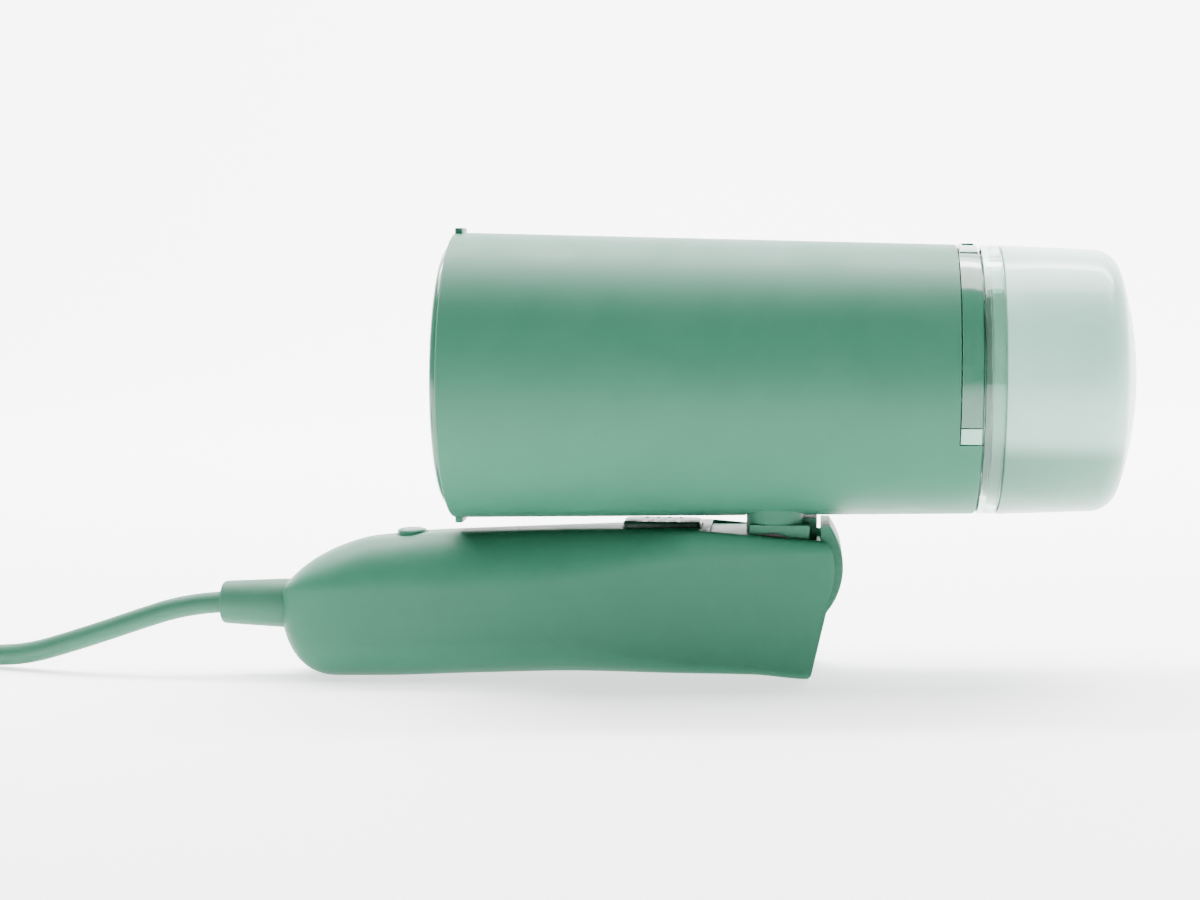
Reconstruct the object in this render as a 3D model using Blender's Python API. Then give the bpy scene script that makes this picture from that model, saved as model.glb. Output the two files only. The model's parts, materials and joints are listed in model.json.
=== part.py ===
"""A folding handheld garment steamer, built piece by piece.

Lengths are metres. X runs along the barrel from the steam head to the water tank, Z is up, and the
steamer lies folded on the underside of its handle. Every piece hangs from the fold axis: heights and
stations below are measured from that axis, along and across the barrel, unless a note says otherwise.
"""
import math

import bmesh
import bpy
from mathutils import Matrix, Vector

mm = 0.001

# Fits
gap = 0.3 * mm
sliding_gap = 0.4 * mm
snug_gap = 0.06 * mm
lean = math.radians(1.3)
fold_range = math.radians(104)

# Barrel
barrel_front = -85.0 * mm
barrel_back = 52.5 * mm
barrel_front_radius = 38.0 * mm
barrel_back_radius = 35.2 * mm
barrel_wall = 2.2 * mm
barrel_drop = 10.8 * mm  # from the fold axis up to the level of the front rim's lowest point
barrel_height = barrel_front_radius + barrel_drop
barrel_taper = (barrel_front_radius - barrel_back_radius) / (barrel_back - barrel_front)
rim_rib_size = (2.0 * mm, 9.0 * mm, 1.2 * mm)
front_ring_play = 0.44 * mm
front_ring_width = 4.0 * mm
front_ring_proud = 2.1 * mm
front_ring_depth = 8.0 * mm
front_ring_outer = (
    barrel_front_radius - barrel_taper * front_ring_depth - barrel_wall - front_ring_play
)
front_ring_inner = front_ring_outer - front_ring_width

# Steam head
steam_hole_radius = 1.2 * mm
steam_hole_rings = ((9.0 * mm, 6), (19.0 * mm, 10))
plate_thickness = 2.6 * mm
plate_inset = 1.2 * mm
seal_width = 1.6 * mm
boiler_radius = 28.0 * mm
boiler_depth = 17.0 * mm
element_ring_radius = 21.0 * mm
element_radius = 3.2 * mm
element_groove_depth = 7.4 * mm
boiler_cover_radius = 16.0 * mm
boiler_cover_thickness = 3.0 * mm
spigot_radius = 2.5 * mm
boiler_inlet_drop = 6.5 * mm
thermostat_radius = 6.5 * mm
thermostat_rise = 7.0 * mm

# Pump
pump_radius = 8.0 * mm
pump_length = 40.0 * mm
pump_front = -40.0 * mm
pump_rise = 8.0 * mm
coil_side = 25.0 * mm
coil_length = 22.0 * mm
shelf_thickness = 2.0 * mm
hose_radius = 2.6 * mm

# Latch band and release button
band_front = 47.0 * mm
band_inner = 31.2 * mm
band_end_angle = math.radians(25)
band_pad_height = 4.0 * mm
button_half_angle = math.radians(20)
button_proud = 0.3 * mm
button_plate = 1.1 * mm
button_travel = 1.3 * mm
button_stem = (2.2 * mm, 8.0 * mm)

# Water tank and its dock
tank_collar_length = 5.0 * mm
tank_end = 93.5 * mm
tank_end_radius = 34.2 * mm
tank_corner = 7.0 * mm
tank_dome = 4.5 * mm
tank_wall = 2.0 * mm
tank_spigot_radius = 30.7 * mm
tank_spigot_length = 10.8 * mm
seal_ring_radius = 0.95 * mm
dock_depth = 14.5 * mm
dock_wall = 1.4 * mm
dock_play = 0.42 * mm
dock_back_wall = 3.0 * mm
filler_rise = 11.0 * mm
filler_radius = 7.5 * mm
stopper_length = 4.5 * mm
stopper_head = 1.6 * mm
valve_drop = 15.0 * mm
valve_radius = 4.3 * mm
valve_bore = 3.3 * mm
valve_length = 10.0 * mm
plunger_radius = 1.6 * mm
plunger_proud = 0.6 * mm
plunger_travel = 1.8 * mm

# Fold hinge
drum_radius = 18.5 * mm
drum_half_width = 12.7 * mm
neck_half_width = 12.4 * mm
drum_flat_left = 8.4 * mm
drum_flat_right = 11.0 * mm
neck_left = -6.9 * mm
neck_right = 7.9 * mm
neck_corner = 6.0 * mm
rib_right = 11.6 * mm
rib_half_width = 6.6 * mm
pin_radius = 2.9 * mm
washer_radius = 9.0 * mm
washer_thickness = 0.5 * mm
hinge_side_gap = 1.1 * mm

# Handle
handle_half_width = 17.0 * mm
handle_tail_half_width = 15.5 * mm
handle_wall = 2.4 * mm
handle_tail = -132.3 * mm
handle_tail_height = -11.5 * mm
handle_top_start = -104.0 * mm
handle_foot = (-117.0 * mm, -104.0 * mm)
handle_foot_height = -31.85 * mm
handle_cavity_end = -14.0 * mm
foot_half_width = 5.5 * mm
trigger_left = -39.7 * mm
trigger_right = -18.9 * mm
trigger_half_width = 7.0 * mm
trigger_top = 10.8 * mm
trigger_travel = 1.6 * mm
power_button_middle = -96.8 * mm
power_button_radii = (4.0 * mm, 5.0 * mm)
power_button_top = 7.5 * mm
power_button_travel = 0.8 * mm
button_lip = 1.3 * mm
screw_stations = ((-106.0 * mm, -20.0 * mm), (-64.0 * mm, -18.0 * mm), (-4.0 * mm, -23.4 * mm))
screw_boss_radius = 4.2 * mm
screw_head_radius = 2.6 * mm
screw_shank_radius = 1.3 * mm
screw_head_depth = 6.5 * mm
screw_reach = 6.0 * mm

# Mains cord
relief_inner = -124.0 * mm
relief_tip = -148.8 * mm
relief_height = -13.4 * mm
relief_root_radius = 6.6 * mm
relief_tip_radius = 5.75 * mm
relief_flange_radius = 8.6 * mm
cord_radius = 2.9 * mm
coil_middle_radius = 33.5 * mm
coil_band_width = 18.2 * mm
coil_height = 17.8 * mm
coil_stub = 26.0 * mm
plug_length = 38.0 * mm
plug_width = 26.0 * mm
plug_thickness = 13.5 * mm
plug_pin_radius = 2.0 * mm
plug_pin_length = 19.0 * mm
plug_pin_spacing = 18.6 * mm

# Derived sizes that several pieces share
floor_slope = math.tan(lean)
spigot_front = barrel_back + gap - tank_spigot_length
dock_back = spigot_front - gap
dock_front = dock_back - dock_depth
band_level = barrel_height - barrel_back_radius * math.sin(band_end_angle)


for leftover in list(bpy.data.objects):
    bpy.data.objects.remove(leftover)


def look(name, colour, roughness, metallic=0.0, alpha=1.0):
    material = bpy.data.materials.new(name)
    material.use_nodes = True
    shader = material.node_tree.nodes["Principled BSDF"]
    shader.inputs["Base Color"].default_value = (*colour, 1.0)
    shader.inputs["Roughness"].default_value = roughness
    shader.inputs["Metallic"].default_value = metallic
    shader.inputs["Alpha"].default_value = alpha
    material.diffuse_color = (*colour, 1.0)
    return material


def empty(name, parent=None, at=(0, 0, 0), turn=(0, 0, 0)):
    holder = bpy.data.objects.new(name, None)
    bpy.context.scene.collection.objects.link(holder)
    holder.parent = parent
    holder.location = at
    holder.rotation_euler = turn
    return holder


def add(name, mesh, material, parent, at=(0, 0, 0), turn=(0, 0, 0)):
    """An object that holds the mesh, hung from its parent."""
    mesh.name = name
    mesh.shade_smooth()
    mesh.set_sharp_from_angle(angle=math.radians(32))
    mesh.materials.append(material)
    piece = bpy.data.objects.new(name, mesh)
    bpy.context.scene.collection.objects.link(piece)
    piece.parent = parent
    piece.location = at
    piece.rotation_euler = turn
    return piece


def tool(name, mesh, parent, at=(0, 0, 0), turn=(0, 0, 0)):
    """A cutter, left out of the model."""
    cutter = bpy.data.objects.new(name, mesh)
    bpy.context.scene.collection.objects.link(cutter)
    cutter.parent = parent
    cutter.location = at
    cutter.rotation_euler = turn
    cutter.hide_render = True
    cutter.display_type = "WIRE"
    return cutter


def combine(piece, other, operation="DIFFERENCE"):
    step = piece.modifiers.new(other.name, "BOOLEAN")
    step.operation = operation
    step.solver = "EXACT"
    step.object = other


def soften(piece, width, segments=2, angle=40):
    """Rounds the piece's sharp edges."""
    step = piece.modifiers.new("soft_edges", "BEVEL")
    step.width = width
    step.segments = segments
    step.limit_method = "ANGLE"
    step.angle_limit = math.radians(angle)
    step.use_clamp_overlap = True


def finished(form):
    bmesh.ops.remove_doubles(form, verts=form.verts, dist=1e-7)
    bmesh.ops.recalc_face_normals(form, faces=form.faces)
    mesh = bpy.data.meshes.new("form")
    form.to_mesh(mesh)
    form.free()
    return mesh


def turned(profile, sides, axis="X"):
    """A profile of (station, radius) corners spun about X, or about Z or Y."""
    form = bmesh.new()
    corners = [form.verts.new((station, 0, radius)) for station, radius in profile]
    edges = [form.edges.new(pair) for pair in zip(corners, corners[1:] + corners[:1])]
    bmesh.ops.spin(
        form,
        geom=corners + edges,
        cent=(0, 0, 0),
        axis=(1, 0, 0),
        angle=math.tau,
        steps=sides,
        use_merge=True,
    )
    bmesh.ops.remove_doubles(form, verts=form.verts, dist=1e-7)
    if axis == "Z":
        form.transform(Matrix.Rotation(-math.pi / 2, 4, "Y"))
    if axis == "Y":
        form.transform(Matrix.Rotation(math.pi / 2, 4, "Z"))
    return finished(form)


def rod(start, end, radius, sides=24, axis="X"):
    return turned([(start, 0), (end, 0), (end, radius), (start, radius)], sides, axis)


def tube(start, end, inner, outer, sides=32, axis="X"):
    return turned([(start, inner), (end, inner), (end, outer), (start, outer)], sides, axis)


def block(low, high):
    form = bmesh.new()
    bmesh.ops.create_cube(form, size=1)
    size = Vector(high) - Vector(low)
    middle = (Vector(high) + Vector(low)) / 2
    bmesh.ops.scale(form, vec=size, verts=form.verts)
    bmesh.ops.translate(form, vec=middle, verts=form.verts)
    return finished(form)


def extruded(outline, start, end, axis="Y"):
    """A flat outline pushed along an axis. Its corners are (x, z) for Y, (x, y) for Z, (y, z) for X."""
    place = {
        "X": lambda a, b, depth: (depth, a, b),
        "Y": lambda a, b, depth: (a, depth, b),
        "Z": lambda a, b, depth: (a, b, depth),
    }[axis]
    form = bmesh.new()
    face = form.faces.new([form.verts.new(place(a, b, start)) for a, b in outline])
    pushed = bmesh.ops.extrude_face_region(form, geom=[face])["geom"]
    moved = [item for item in pushed if isinstance(item, bmesh.types.BMVert)]
    bmesh.ops.translate(form, vec=Vector(place(0, 0, end - start)), verts=moved)
    return finished(form)


def rounded_outline(left, right, low, high, radius, steps=4):
    """The corners of a rectangle with round corners."""
    outline = []
    for a, b, turn in (
        (right - radius, high - radius, 0),
        (left + radius, high - radius, 1),
        (left + radius, low + radius, 2),
        (right - radius, low + radius, 3),
    ):
        for step in range(steps + 1):
            angle = math.pi / 2 * (turn + step / steps)
            outline.append((a + radius * math.cos(angle), b + radius * math.sin(angle)))
    return outline


def lofted(rings):
    """A closed skin through rings of equally many points, capped at both ends."""
    form = bmesh.new()
    loops = [[form.verts.new(point) for point in ring] for ring in rings]
    count = len(loops[0])
    for near, far in zip(loops, loops[1:]):
        for i in range(count):
            j = (i + 1) % count
            form.faces.new((near[i], near[j], far[j], far[i]))
    form.faces.new(loops[0])
    form.faces.new(loops[-1])
    return finished(form)


def wire(name, points, radius, material, parent, roundness=2):
    """A round rod along straight runs between points."""
    curve = bpy.data.curves.new(name, "CURVE")
    curve.dimensions = "3D"
    curve.bevel_depth = radius
    curve.bevel_resolution = roundness
    curve.use_fill_caps = True
    line = curve.splines.new("POLY")
    line.points.add(len(points) - 1)
    for point, place in zip(line.points, points):
        point.co = (*place, 1)
    curve.materials.append(material)
    piece = bpy.data.objects.new(name, curve)
    bpy.context.scene.collection.objects.link(piece)
    piece.parent = parent
    return piece


def smooth_route(points, spacing):
    """Evenly spaced points of a smooth curve through the given ones."""
    knots = [Vector(point) for point in points]
    knots = [2 * knots[0] - knots[1]] + knots + [2 * knots[-1] - knots[-2]]
    fine = []
    for a, b, c, d in zip(knots, knots[1:], knots[2:], knots[3:]):
        for step in range(24):
            t = step / 24
            spread = (2 * a - 5 * b + 4 * c - d) * t * t + (3 * b - a - 3 * c + d) * t ** 3
            fine.append((2 * b + (c - a) * t + spread) / 2)
    fine.append(knots[-2])
    total = sum((far - near).length for near, far in zip(fine, fine[1:]))
    count = max(2, round(total / spacing))
    route = [fine[0]]
    walked = 0
    for near, far in zip(fine, fine[1:]):
        walked += (far - near).length
        if walked >= total * len(route) / count - 1e-9 and len(route) < count:
            route.append(far)
    return route + [fine[-1]]


def helix(start, end, radius, turns, per_turn=10):
    """Points of a coil about X from start to end."""
    count = turns * per_turn
    return [
        (
            start + (end - start) * i / count,
            radius * math.cos(math.tau * i / per_turn),
            radius * math.sin(math.tau * i / per_turn),
        )
        for i in range(count + 1)
    ]


def between(rows, station):
    """The value at a station, read from straight runs between (station, value) rows."""
    for (left, low), (right, high) in zip(rows, rows[1:]):
        if station <= right:
            return low + (high - low) * (station - left) / (right - left)
    return rows[-1][1]


def barrel_radius(station):
    share = (station - barrel_front) / (barrel_back - barrel_front)
    return barrel_front_radius + (barrel_back_radius - barrel_front_radius) * share


# Barrel

def make_barrel_shell(parent, satin):
    front_inner = barrel_front_radius - barrel_wall
    back_inner = barrel_back_radius - barrel_wall
    lip = 0.8 * mm
    shell = add(
        "barrel_shell",
        turned(
            [
                (barrel_front + lip, barrel_front_radius),
                (barrel_front, barrel_front_radius - lip),
                (barrel_front, front_inner),
                (barrel_back, back_inner),
                (barrel_back, barrel_back_radius),
            ],
            64,
        ),
        satin,
        parent,
        at=(0, 0, barrel_height),
    )
    long, wide, tall = rim_rib_size
    for side in (-1, 1):
        low = min(side * (front_inner + gap), side * (barrel_front_radius + tall))
        high = max(side * (front_inner + gap), side * (barrel_front_radius + tall))
        start = barrel_front + 0.4 * mm
        rib = tool(f"rim_rib_{side}", block((start, -wide / 2, low), (start + long, wide / 2, high)), shell)
        combine(shell, rib, "UNION")
    reach = barrel_front_radius + 1 * mm
    step = block((band_front - gap, -reach, band_level - barrel_height), (barrel_back + gap, reach, reach))
    combine(shell, tool("band_step", step, shell))
    door = extruded(neck_outline(gap), barrel_height - 26 * mm - reach, barrel_height - 26 * mm, "Z")
    combine(shell, tool("neck_door", door, parent))
    return shell


def make_latch_band(parent, gloss, pale):
    """The band that closes the barrel's back edge over the top, and the pad at each of its ends."""
    profile = [
        (band_front, band_inner),
        (barrel_back - gap, band_inner),
        (barrel_back - gap, barrel_radius(barrel_back - gap)),
        (band_front, barrel_radius(band_front)),
    ]
    reach = barrel_front_radius + 1 * mm
    level = band_level - barrel_height + gap
    pad_top = level + band_pad_height
    band = add("latch_band", turned(profile, 48), gloss, parent, at=(0, 0, barrel_height))
    low = block((band_front - gap, -reach, -reach), (barrel_back, reach, pad_top + gap))
    combine(band, tool("band_below", low, band))
    half = barrel_back_radius * math.sin(button_half_angle) + gap
    floor = barrel_back_radius + button_proud - button_plate - button_travel - gap
    pocket = tool("button_pocket", tube(band_front - 2 * gap, barrel_back + gap, floor, reach, 48), band)
    width = block((0, -half, 0), (barrel_back + 1 * mm, half, reach + 1 * mm))
    middle_part = tool("button_width", width, band)
    combine(pocket, middle_part, "INTERSECT")
    combine(band, pocket)
    long, wide = button_stem
    middle = (band_front + barrel_back) / 2
    hole = block(
        (middle - long / 2 - gap, -wide / 2 - gap, 0), (middle + long / 2 + gap, wide / 2 + gap, reach)
    )
    combine(band, tool("stem_hole", hole, band))
    for name, side in (("band_pad_left", -1), ("band_pad_right", 1)):
        pad = add(name, turned(profile, 48), pale, parent, at=(0, 0, barrel_height))
        low, high = sorted((side * band_inner * 0.5, side * reach))
        kept = block((band_front - gap, low, level), (barrel_back, high, pad_top))
        keep = tool(name + "_keep", kept, pad)
        combine(pad, keep, "INTERSECT")


def make_release_button(parent, gloss):
    """The press button on top of the band, with the stem that unlatches the tank."""
    middle = (band_front + barrel_back) / 2
    half = barrel_back_radius * math.sin(button_half_angle)
    top = barrel_back_radius + button_proud
    button = add(
        "release_button",
        tube(band_front + gap, barrel_back - 2 * gap, top - button_plate, top, 96),
        gloss,
        parent,
        at=(0, 0, barrel_height),
    )
    keep = block((band_front, -half, 0), (barrel_back, half, top + 1 * mm))
    combine(button, tool("button_keep", keep, button), "INTERSECT")
    long, wide = button_stem
    stem = block(
        (middle - long / 2, -wide / 2, tank_spigot_radius + button_travel + gap),
        (middle + long / 2, wide / 2, top - button_plate / 2),
    )
    combine(button, tool("button_stem", stem, button), "UNION")
    return button


def make_front_ring(parent, gloss):
    nose = barrel_front - front_ring_proud
    tail = barrel_front + front_ring_depth
    middle = (front_ring_outer + front_ring_inner) / 2
    half = (front_ring_outer - front_ring_inner) / 2
    profile = [(tail, front_ring_inner), (tail, front_ring_outer)]
    for step in range(6):
        angle = math.pi * step / 5
        profile.append((nose + half * (1 - math.sin(angle)), middle + half * math.cos(angle)))
    add("front_ring", turned(profile[::-1], 36), gloss, parent, at=(0, 0, barrel_height))


def make_steam_head(parent, steel, aluminium, silicone, black):
    """Steam plate, boiler and its fittings, from the front to the pump."""
    plate_front = barrel_front - front_ring_proud + plate_inset
    plate_back = plate_front + plate_thickness
    seal_outer = front_ring_inner - gap
    plate_radius = seal_outer - seal_width - gap
    axis = (0, 0, barrel_height)
    plate = add(
        "steam_plate",
        turned(
            [(plate_front, 0), (plate_back, 0), (plate_back, plate_radius),
             (plate_front + 0.6 * mm, plate_radius), (plate_front, plate_radius - 0.6 * mm)],
            48,
        ),
        steel,
        parent,
        at=axis,
    )
    for ring_radius, count in steam_hole_rings:
        for i in range(count):
            angle = math.tau * (i + 0.5) / count
            across, up = ring_radius * math.cos(angle), ring_radius * math.sin(angle)
            hole = rod(plate_front - 1 * mm, plate_back + 1 * mm, steam_hole_radius, 8)
            combine(plate, tool(f"steam_hole_{count}_{i}", hole, plate, at=(0, across, up)))
    seal = tube(plate_front + 0.4 * mm, plate_back + 4 * mm, seal_outer - seal_width, seal_outer, 32)
    add("plate_seal", seal, silicone, parent, at=axis)

    body_front = plate_back + gap
    body_back = body_front + boiler_depth
    groove = element_radius + gap
    body = [
        (body_front, 0),
        (body_back, 0),
        (body_back, element_ring_radius - groove),
        (body_back - element_groove_depth, element_ring_radius - groove),
        (body_back - element_groove_depth, element_ring_radius + groove),
        (body_back, element_ring_radius + groove),
        (body_back, boiler_radius),
        (body_front, boiler_radius),
    ]
    add("boiler_body", turned(body, 40), aluminium, parent, at=axis)
    element_middle = body_back - element_groove_depth + element_radius + gap
    start = math.radians(112)
    sweep = math.radians(316)
    loop = [
        (
            element_middle,
            element_ring_radius * math.cos(start + sweep * i / 24),
            element_ring_radius * math.sin(start + sweep * i / 24),
        )
        for i in range(25)
    ]
    rise = body_back + 9 * mm
    loop = [(rise, *loop[0][1:])] + loop + [(rise, *loop[-1][1:])]
    element = wire("heating_element", loop, element_radius, steel, parent)
    element.location = axis

    cover_front = body_back + gap
    cover_back = cover_front + boiler_cover_thickness
    cover = add(
        "boiler_cover", rod(cover_front, cover_back, boiler_cover_radius, 32), aluminium, parent, at=axis
    )
    spigot = rod(cover_front + 1 * mm, cover_back + 6 * mm, spigot_radius, 16)
    combine(cover, tool("inlet_spigot", spigot, cover, at=(0, 0, -boiler_inlet_drop)), "UNION")
    stat = turned(
        [
            (cover_back + gap, 0),
            (cover_back + gap + 7 * mm, 0),
            (cover_back + gap + 7 * mm, thermostat_radius - 1 * mm),
            (cover_back + gap + 2 * mm, thermostat_radius - 1 * mm),
            (cover_back + gap + 2 * mm, thermostat_radius),
            (cover_back + gap, thermostat_radius),
        ],
        24,
    )
    add("thermostat", stat, black, parent, at=(0, 0, barrel_height + thermostat_rise))
    fuse = rod(-5 * mm, 5 * mm, 1.8 * mm, 12, "Z")
    fuse_at = (cover_back + gap + 1.8 * mm, 10.5 * mm, barrel_height - 2 * mm)
    add("thermal_fuse", fuse, steel, parent, at=fuse_at)
    return cover_back + 6 * mm


def make_pump(parent, boiler_inlet, copper, plastic, silicone):
    """The solenoid pump on its shelf, and the hoses to and from it."""
    back = pump_front + pump_length
    nozzle = 5 * mm
    profile = [
        (pump_front - nozzle, 0),
        (back + nozzle, 0),
        (back + nozzle, spigot_radius),
        (back, spigot_radius),
        (back, pump_radius),
        (pump_front, pump_radius),
        (pump_front, spigot_radius),
        (pump_front - nozzle, spigot_radius),
    ]
    at = (0, 0, barrel_height + pump_rise)
    add("pump_body", turned(profile, 24), plastic, parent, at=at)
    start = pump_front + (pump_length - coil_length) / 2
    half = coil_side / 2
    coil = add(
        "pump_coil",
        extruded(rounded_outline(-half, half, -half, half, 3 * mm, 3), start, start + coil_length, "X"),
        copper,
        parent,
        at=at,
    )
    bore = rod(start - 1 * mm, start + coil_length + 1 * mm, pump_radius + gap, 24)
    combine(coil, tool("pump_bore", bore, coil))
    shelf_top = pump_rise - half - gap
    shelf_low = shelf_top - shelf_thickness
    reach = math.sqrt((barrel_radius(0) - barrel_wall - 2 * gap) ** 2 - shelf_low ** 2) - 0.6 * mm
    wing = half + gap
    shelf = [
        (-reach, shelf_low),
        (reach, shelf_low),
        (reach, shelf_top),
        (wing + 2 * mm, shelf_top),
        (wing + 2 * mm, shelf_top + 7 * mm),
        (wing, shelf_top + 7 * mm),
        (wing, shelf_top),
        (-wing, shelf_top),
        (-wing, shelf_top + 7 * mm),
        (-wing - 2 * mm, shelf_top + 7 * mm),
        (-wing - 2 * mm, shelf_top),
        (-reach, shelf_top),
    ]
    add(
        "pump_shelf",
        extruded(shelf, start - 3 * mm, start + coil_length + 3 * mm, "X"),
        plastic,
        parent,
        at=(0, 0, barrel_height),
    )
    pump_end = (pump_front - nozzle - gap, pump_rise)
    boiler_end = (boiler_inlet + gap, -boiler_inlet_drop)
    back_end = (back + nozzle + gap, pump_rise)
    dock_end = (dock_front - 5 * mm - gap, -valve_drop)
    for name, left, right in (("outlet_hose", boiler_end, pump_end), ("inlet_hose", back_end, dock_end)):
        hose = wire(name, hose_route(left, right), hose_radius, silicone, parent, 1)
        hose.location = (0, 0, barrel_height)


def hose_route(left, right):
    """A hose between two facing nozzles: a straight stub on each, and a smooth step between them."""
    stub = 1.6 * mm
    start, low = left[0] + stub, left[1]
    end, high = right[0] - stub, right[1]
    route = [(left[0], 0, low)]
    for i in range(8):
        share = i / 7
        route.append((start + (end - start) * share, 0, low + (high - low) * (3 - 2 * share) * share ** 2))
    return route + [(right[0], 0, high)]


def make_tank_dock(parent, plastic, silicone):
    """The cup that the tank's spigot slides into, with the pin that opens the tank's valve."""
    back = band_front - 2 * gap
    outer = barrel_radius(back) - barrel_wall - dock_play
    inner = outer - dock_wall
    wall = dock_front + dock_back_wall
    profile = [
        (dock_front, 0),
        (wall, 0),
        (wall, inner),
        (back, inner),
        (back, outer),
        (dock_front, outer),
    ]
    at = (0, 0, barrel_height)
    dock = add("tank_dock", turned(profile, 48), plastic, parent, at=at)
    tip = spigot_front - plunger_proud - gap
    pin = turned(
        [
            (dock_front - 5 * mm, 0),
            (tip, 0),
            (tip, plunger_radius - 0.2 * mm),
            (wall + 3 * mm, plunger_radius - 0.2 * mm),
            (wall + 3 * mm, valve_radius),
            (dock_front + 1 * mm, valve_radius),
            (dock_front + 1 * mm, spigot_radius),
            (dock_front - 5 * mm, spigot_radius),
        ],
        16,
    )
    combine(dock, tool("dock_pin", pin, dock, at=(0, 0, -valve_drop)), "UNION")
    ring = torus_x(wall + gap + seal_ring_radius, valve_radius + 1.5 * mm, seal_ring_radius, 16, 6)
    add("dock_seal", ring, silicone, parent, at=(0, 0, barrel_height - valve_drop))


def torus_x(station, major, minor, sides, round_sides):
    profile = []
    for step in range(round_sides):
        angle = math.tau * step / round_sides
        profile.append((station + minor * math.cos(angle), major + minor * math.sin(angle)))
    return turned(profile, sides)


# Water tank

def make_tank(parent, clear, frosted, silicone, plastic, steel):
    """The detachable tank: a bottle, its front cover, and the fittings on that cover."""
    at = (0, 0, barrel_height)
    front = barrel_back + gap
    split = front + tank_collar_length
    spigot_wall = 1.8 * mm
    collar_inner = barrel_back_radius - tank_wall
    groove_front = spigot_front + 3.4 * mm
    groove_back = groove_front + 2.6 * mm
    groove_floor = tank_spigot_radius - 2.0 * mm
    web_back = front + 2 * mm
    collar = [
        (front + 0.4 * mm, barrel_back_radius),
        (front, barrel_back_radius - 0.4 * mm),
        (front, tank_spigot_radius + gap),
        (web_back, tank_spigot_radius + gap),
        (web_back, collar_inner),
        (split, collar_inner),
        (split, barrel_back_radius),
    ]
    add("tank_collar", turned(collar, 40), clear, parent, at=at)
    bore = groove_floor - spigot_wall
    plate_back = spigot_front + spigot_wall
    spigot = [
        (spigot_front, bore),
        (web_back, bore),
        (web_back, tank_spigot_radius),
        (groove_back, tank_spigot_radius),
        (groove_back, groove_floor),
        (groove_front, groove_floor),
        (groove_front, tank_spigot_radius),
        (spigot_front, tank_spigot_radius),
    ]
    add("tank_spigot", turned(spigot, 36), plastic, parent, at=at)
    plate = add("tank_end_plate", rod(spigot_front, plate_back, bore - gap, 36), plastic, parent, at=at)
    reach = 30 * mm
    mouth = rod(spigot_front - reach, spigot_front + reach, filler_radius + gap, 28)
    combine(plate, tool("filler_mouth", mouth, plate, at=(0, 0, filler_rise)))
    seat = rod(spigot_front - reach, spigot_front + reach, valve_radius + gap, 20)
    combine(plate, tool("valve_seat", seat, plate, at=(0, 0, -valve_drop)))

    lip_outer = collar_inner - gap
    lip_inner = lip_outer - 1.4 * mm
    start = split + gap
    outer_end = tank_end - tank_dome
    bottle = [
        (web_back + gap, lip_inner),
        (web_back + gap, lip_outer),
        (start, lip_outer),
        (start, barrel_back_radius),
    ]
    bottle += corner_arc(outer_end, tank_end_radius, tank_corner, 4)
    bottle += dome(tank_end, tank_end_radius - tank_corner, tank_dome * 0.45, 3)
    bottle += dome(tank_end - tank_wall, tank_end_radius - tank_corner, tank_dome * 0.45, 2)[::-1]
    inner_corner = tank_corner - tank_wall
    bottle += corner_arc(outer_end - tank_wall, tank_end_radius - tank_wall, inner_corner, 2)[::-1]
    bottle += [(start + 3 * mm, lip_inner)]
    add("water_tank", turned(bottle[::-1], 40), frosted, parent, at=at)

    ring_station = (groove_front + groove_back) / 2
    ring = torus_x(ring_station, groove_floor + gap + seal_ring_radius, seal_ring_radius, 24, 5)
    add("tank_seal", ring, silicone, parent, at=at)

    tip = spigot_front
    bore_start = tip + 2.4 * mm
    end = tip + valve_length
    body = [
        (tip, plunger_radius + gap),
        (bore_start, plunger_radius + gap),
        (bore_start, valve_bore),
        (end - 1 * mm, valve_bore),
        (end - 1 * mm, plunger_radius),
        (end, plunger_radius),
        (end, valve_radius),
        (tip + spigot_wall + gap + 1 * mm, valve_radius),
        (tip + spigot_wall + gap + 1 * mm, valve_radius + 1.6 * mm),
        (tip + spigot_wall + gap, valve_radius + 1.6 * mm),
        (tip + spigot_wall + gap, valve_radius),
        (tip, valve_radius),
    ]
    valve_at = (0, 0, barrel_height - valve_drop)
    add("valve_body", turned(body, 16), plastic, parent, at=valve_at)
    spring_start = bore_start + gap + 1.2 * mm + gap
    points = helix(spring_start + 0.35 * mm, end - 1 * mm - gap - 0.35 * mm, valve_bore - 0.9 * mm, 4, 8)
    spring = wire("valve_spring", points, 0.3 * mm, steel, parent, 0)
    spring.location = valve_at
    tube_start = (end + gap, 0, -valve_drop)
    route = [
        tube_start,
        (end + 5 * mm, 0, -valve_drop - 0.5 * mm),
        (end + 15 * mm, 0, -26 * mm),
        (tank_end - 22 * mm, 0, -28.2 * mm),
        (tank_end - 14 * mm, 0, -28.2 * mm),
    ]
    hose = wire("suction_tube", smooth_route(route, 4 * mm), 2.2 * mm, silicone, parent, 1)
    hose.location = at
    return bore_start + gap


def corner_arc(end, radius, corner, steps):
    """The arc that turns a side at this radius into an end face."""
    arc = []
    for step in range(steps + 1):
        angle = math.pi / 2 * step / steps
        arc.append((end - corner + corner * math.sin(angle), radius - corner + corner * math.cos(angle)))
    return arc


def dome(apex, radius, height, steps):
    """A shallow dome from just inside its edge to its apex on the axis."""
    curve = []
    for step in range(1, steps + 1):
        share = 1 - step / steps
        curve.append((apex - height * share * share, radius * share))
    return curve


def make_plunger(parent, head_front, plastic):
    tip = spigot_front - plunger_proud
    profile = [
        (tip, 0),
        (head_front + 1.2 * mm, 0),
        (head_front + 1.2 * mm, valve_bore - gap),
        (head_front, valve_bore - gap),
        (head_front, plunger_radius),
        (tip, plunger_radius),
    ]
    add("valve_plunger", turned(profile, 16), plastic, parent)


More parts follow.
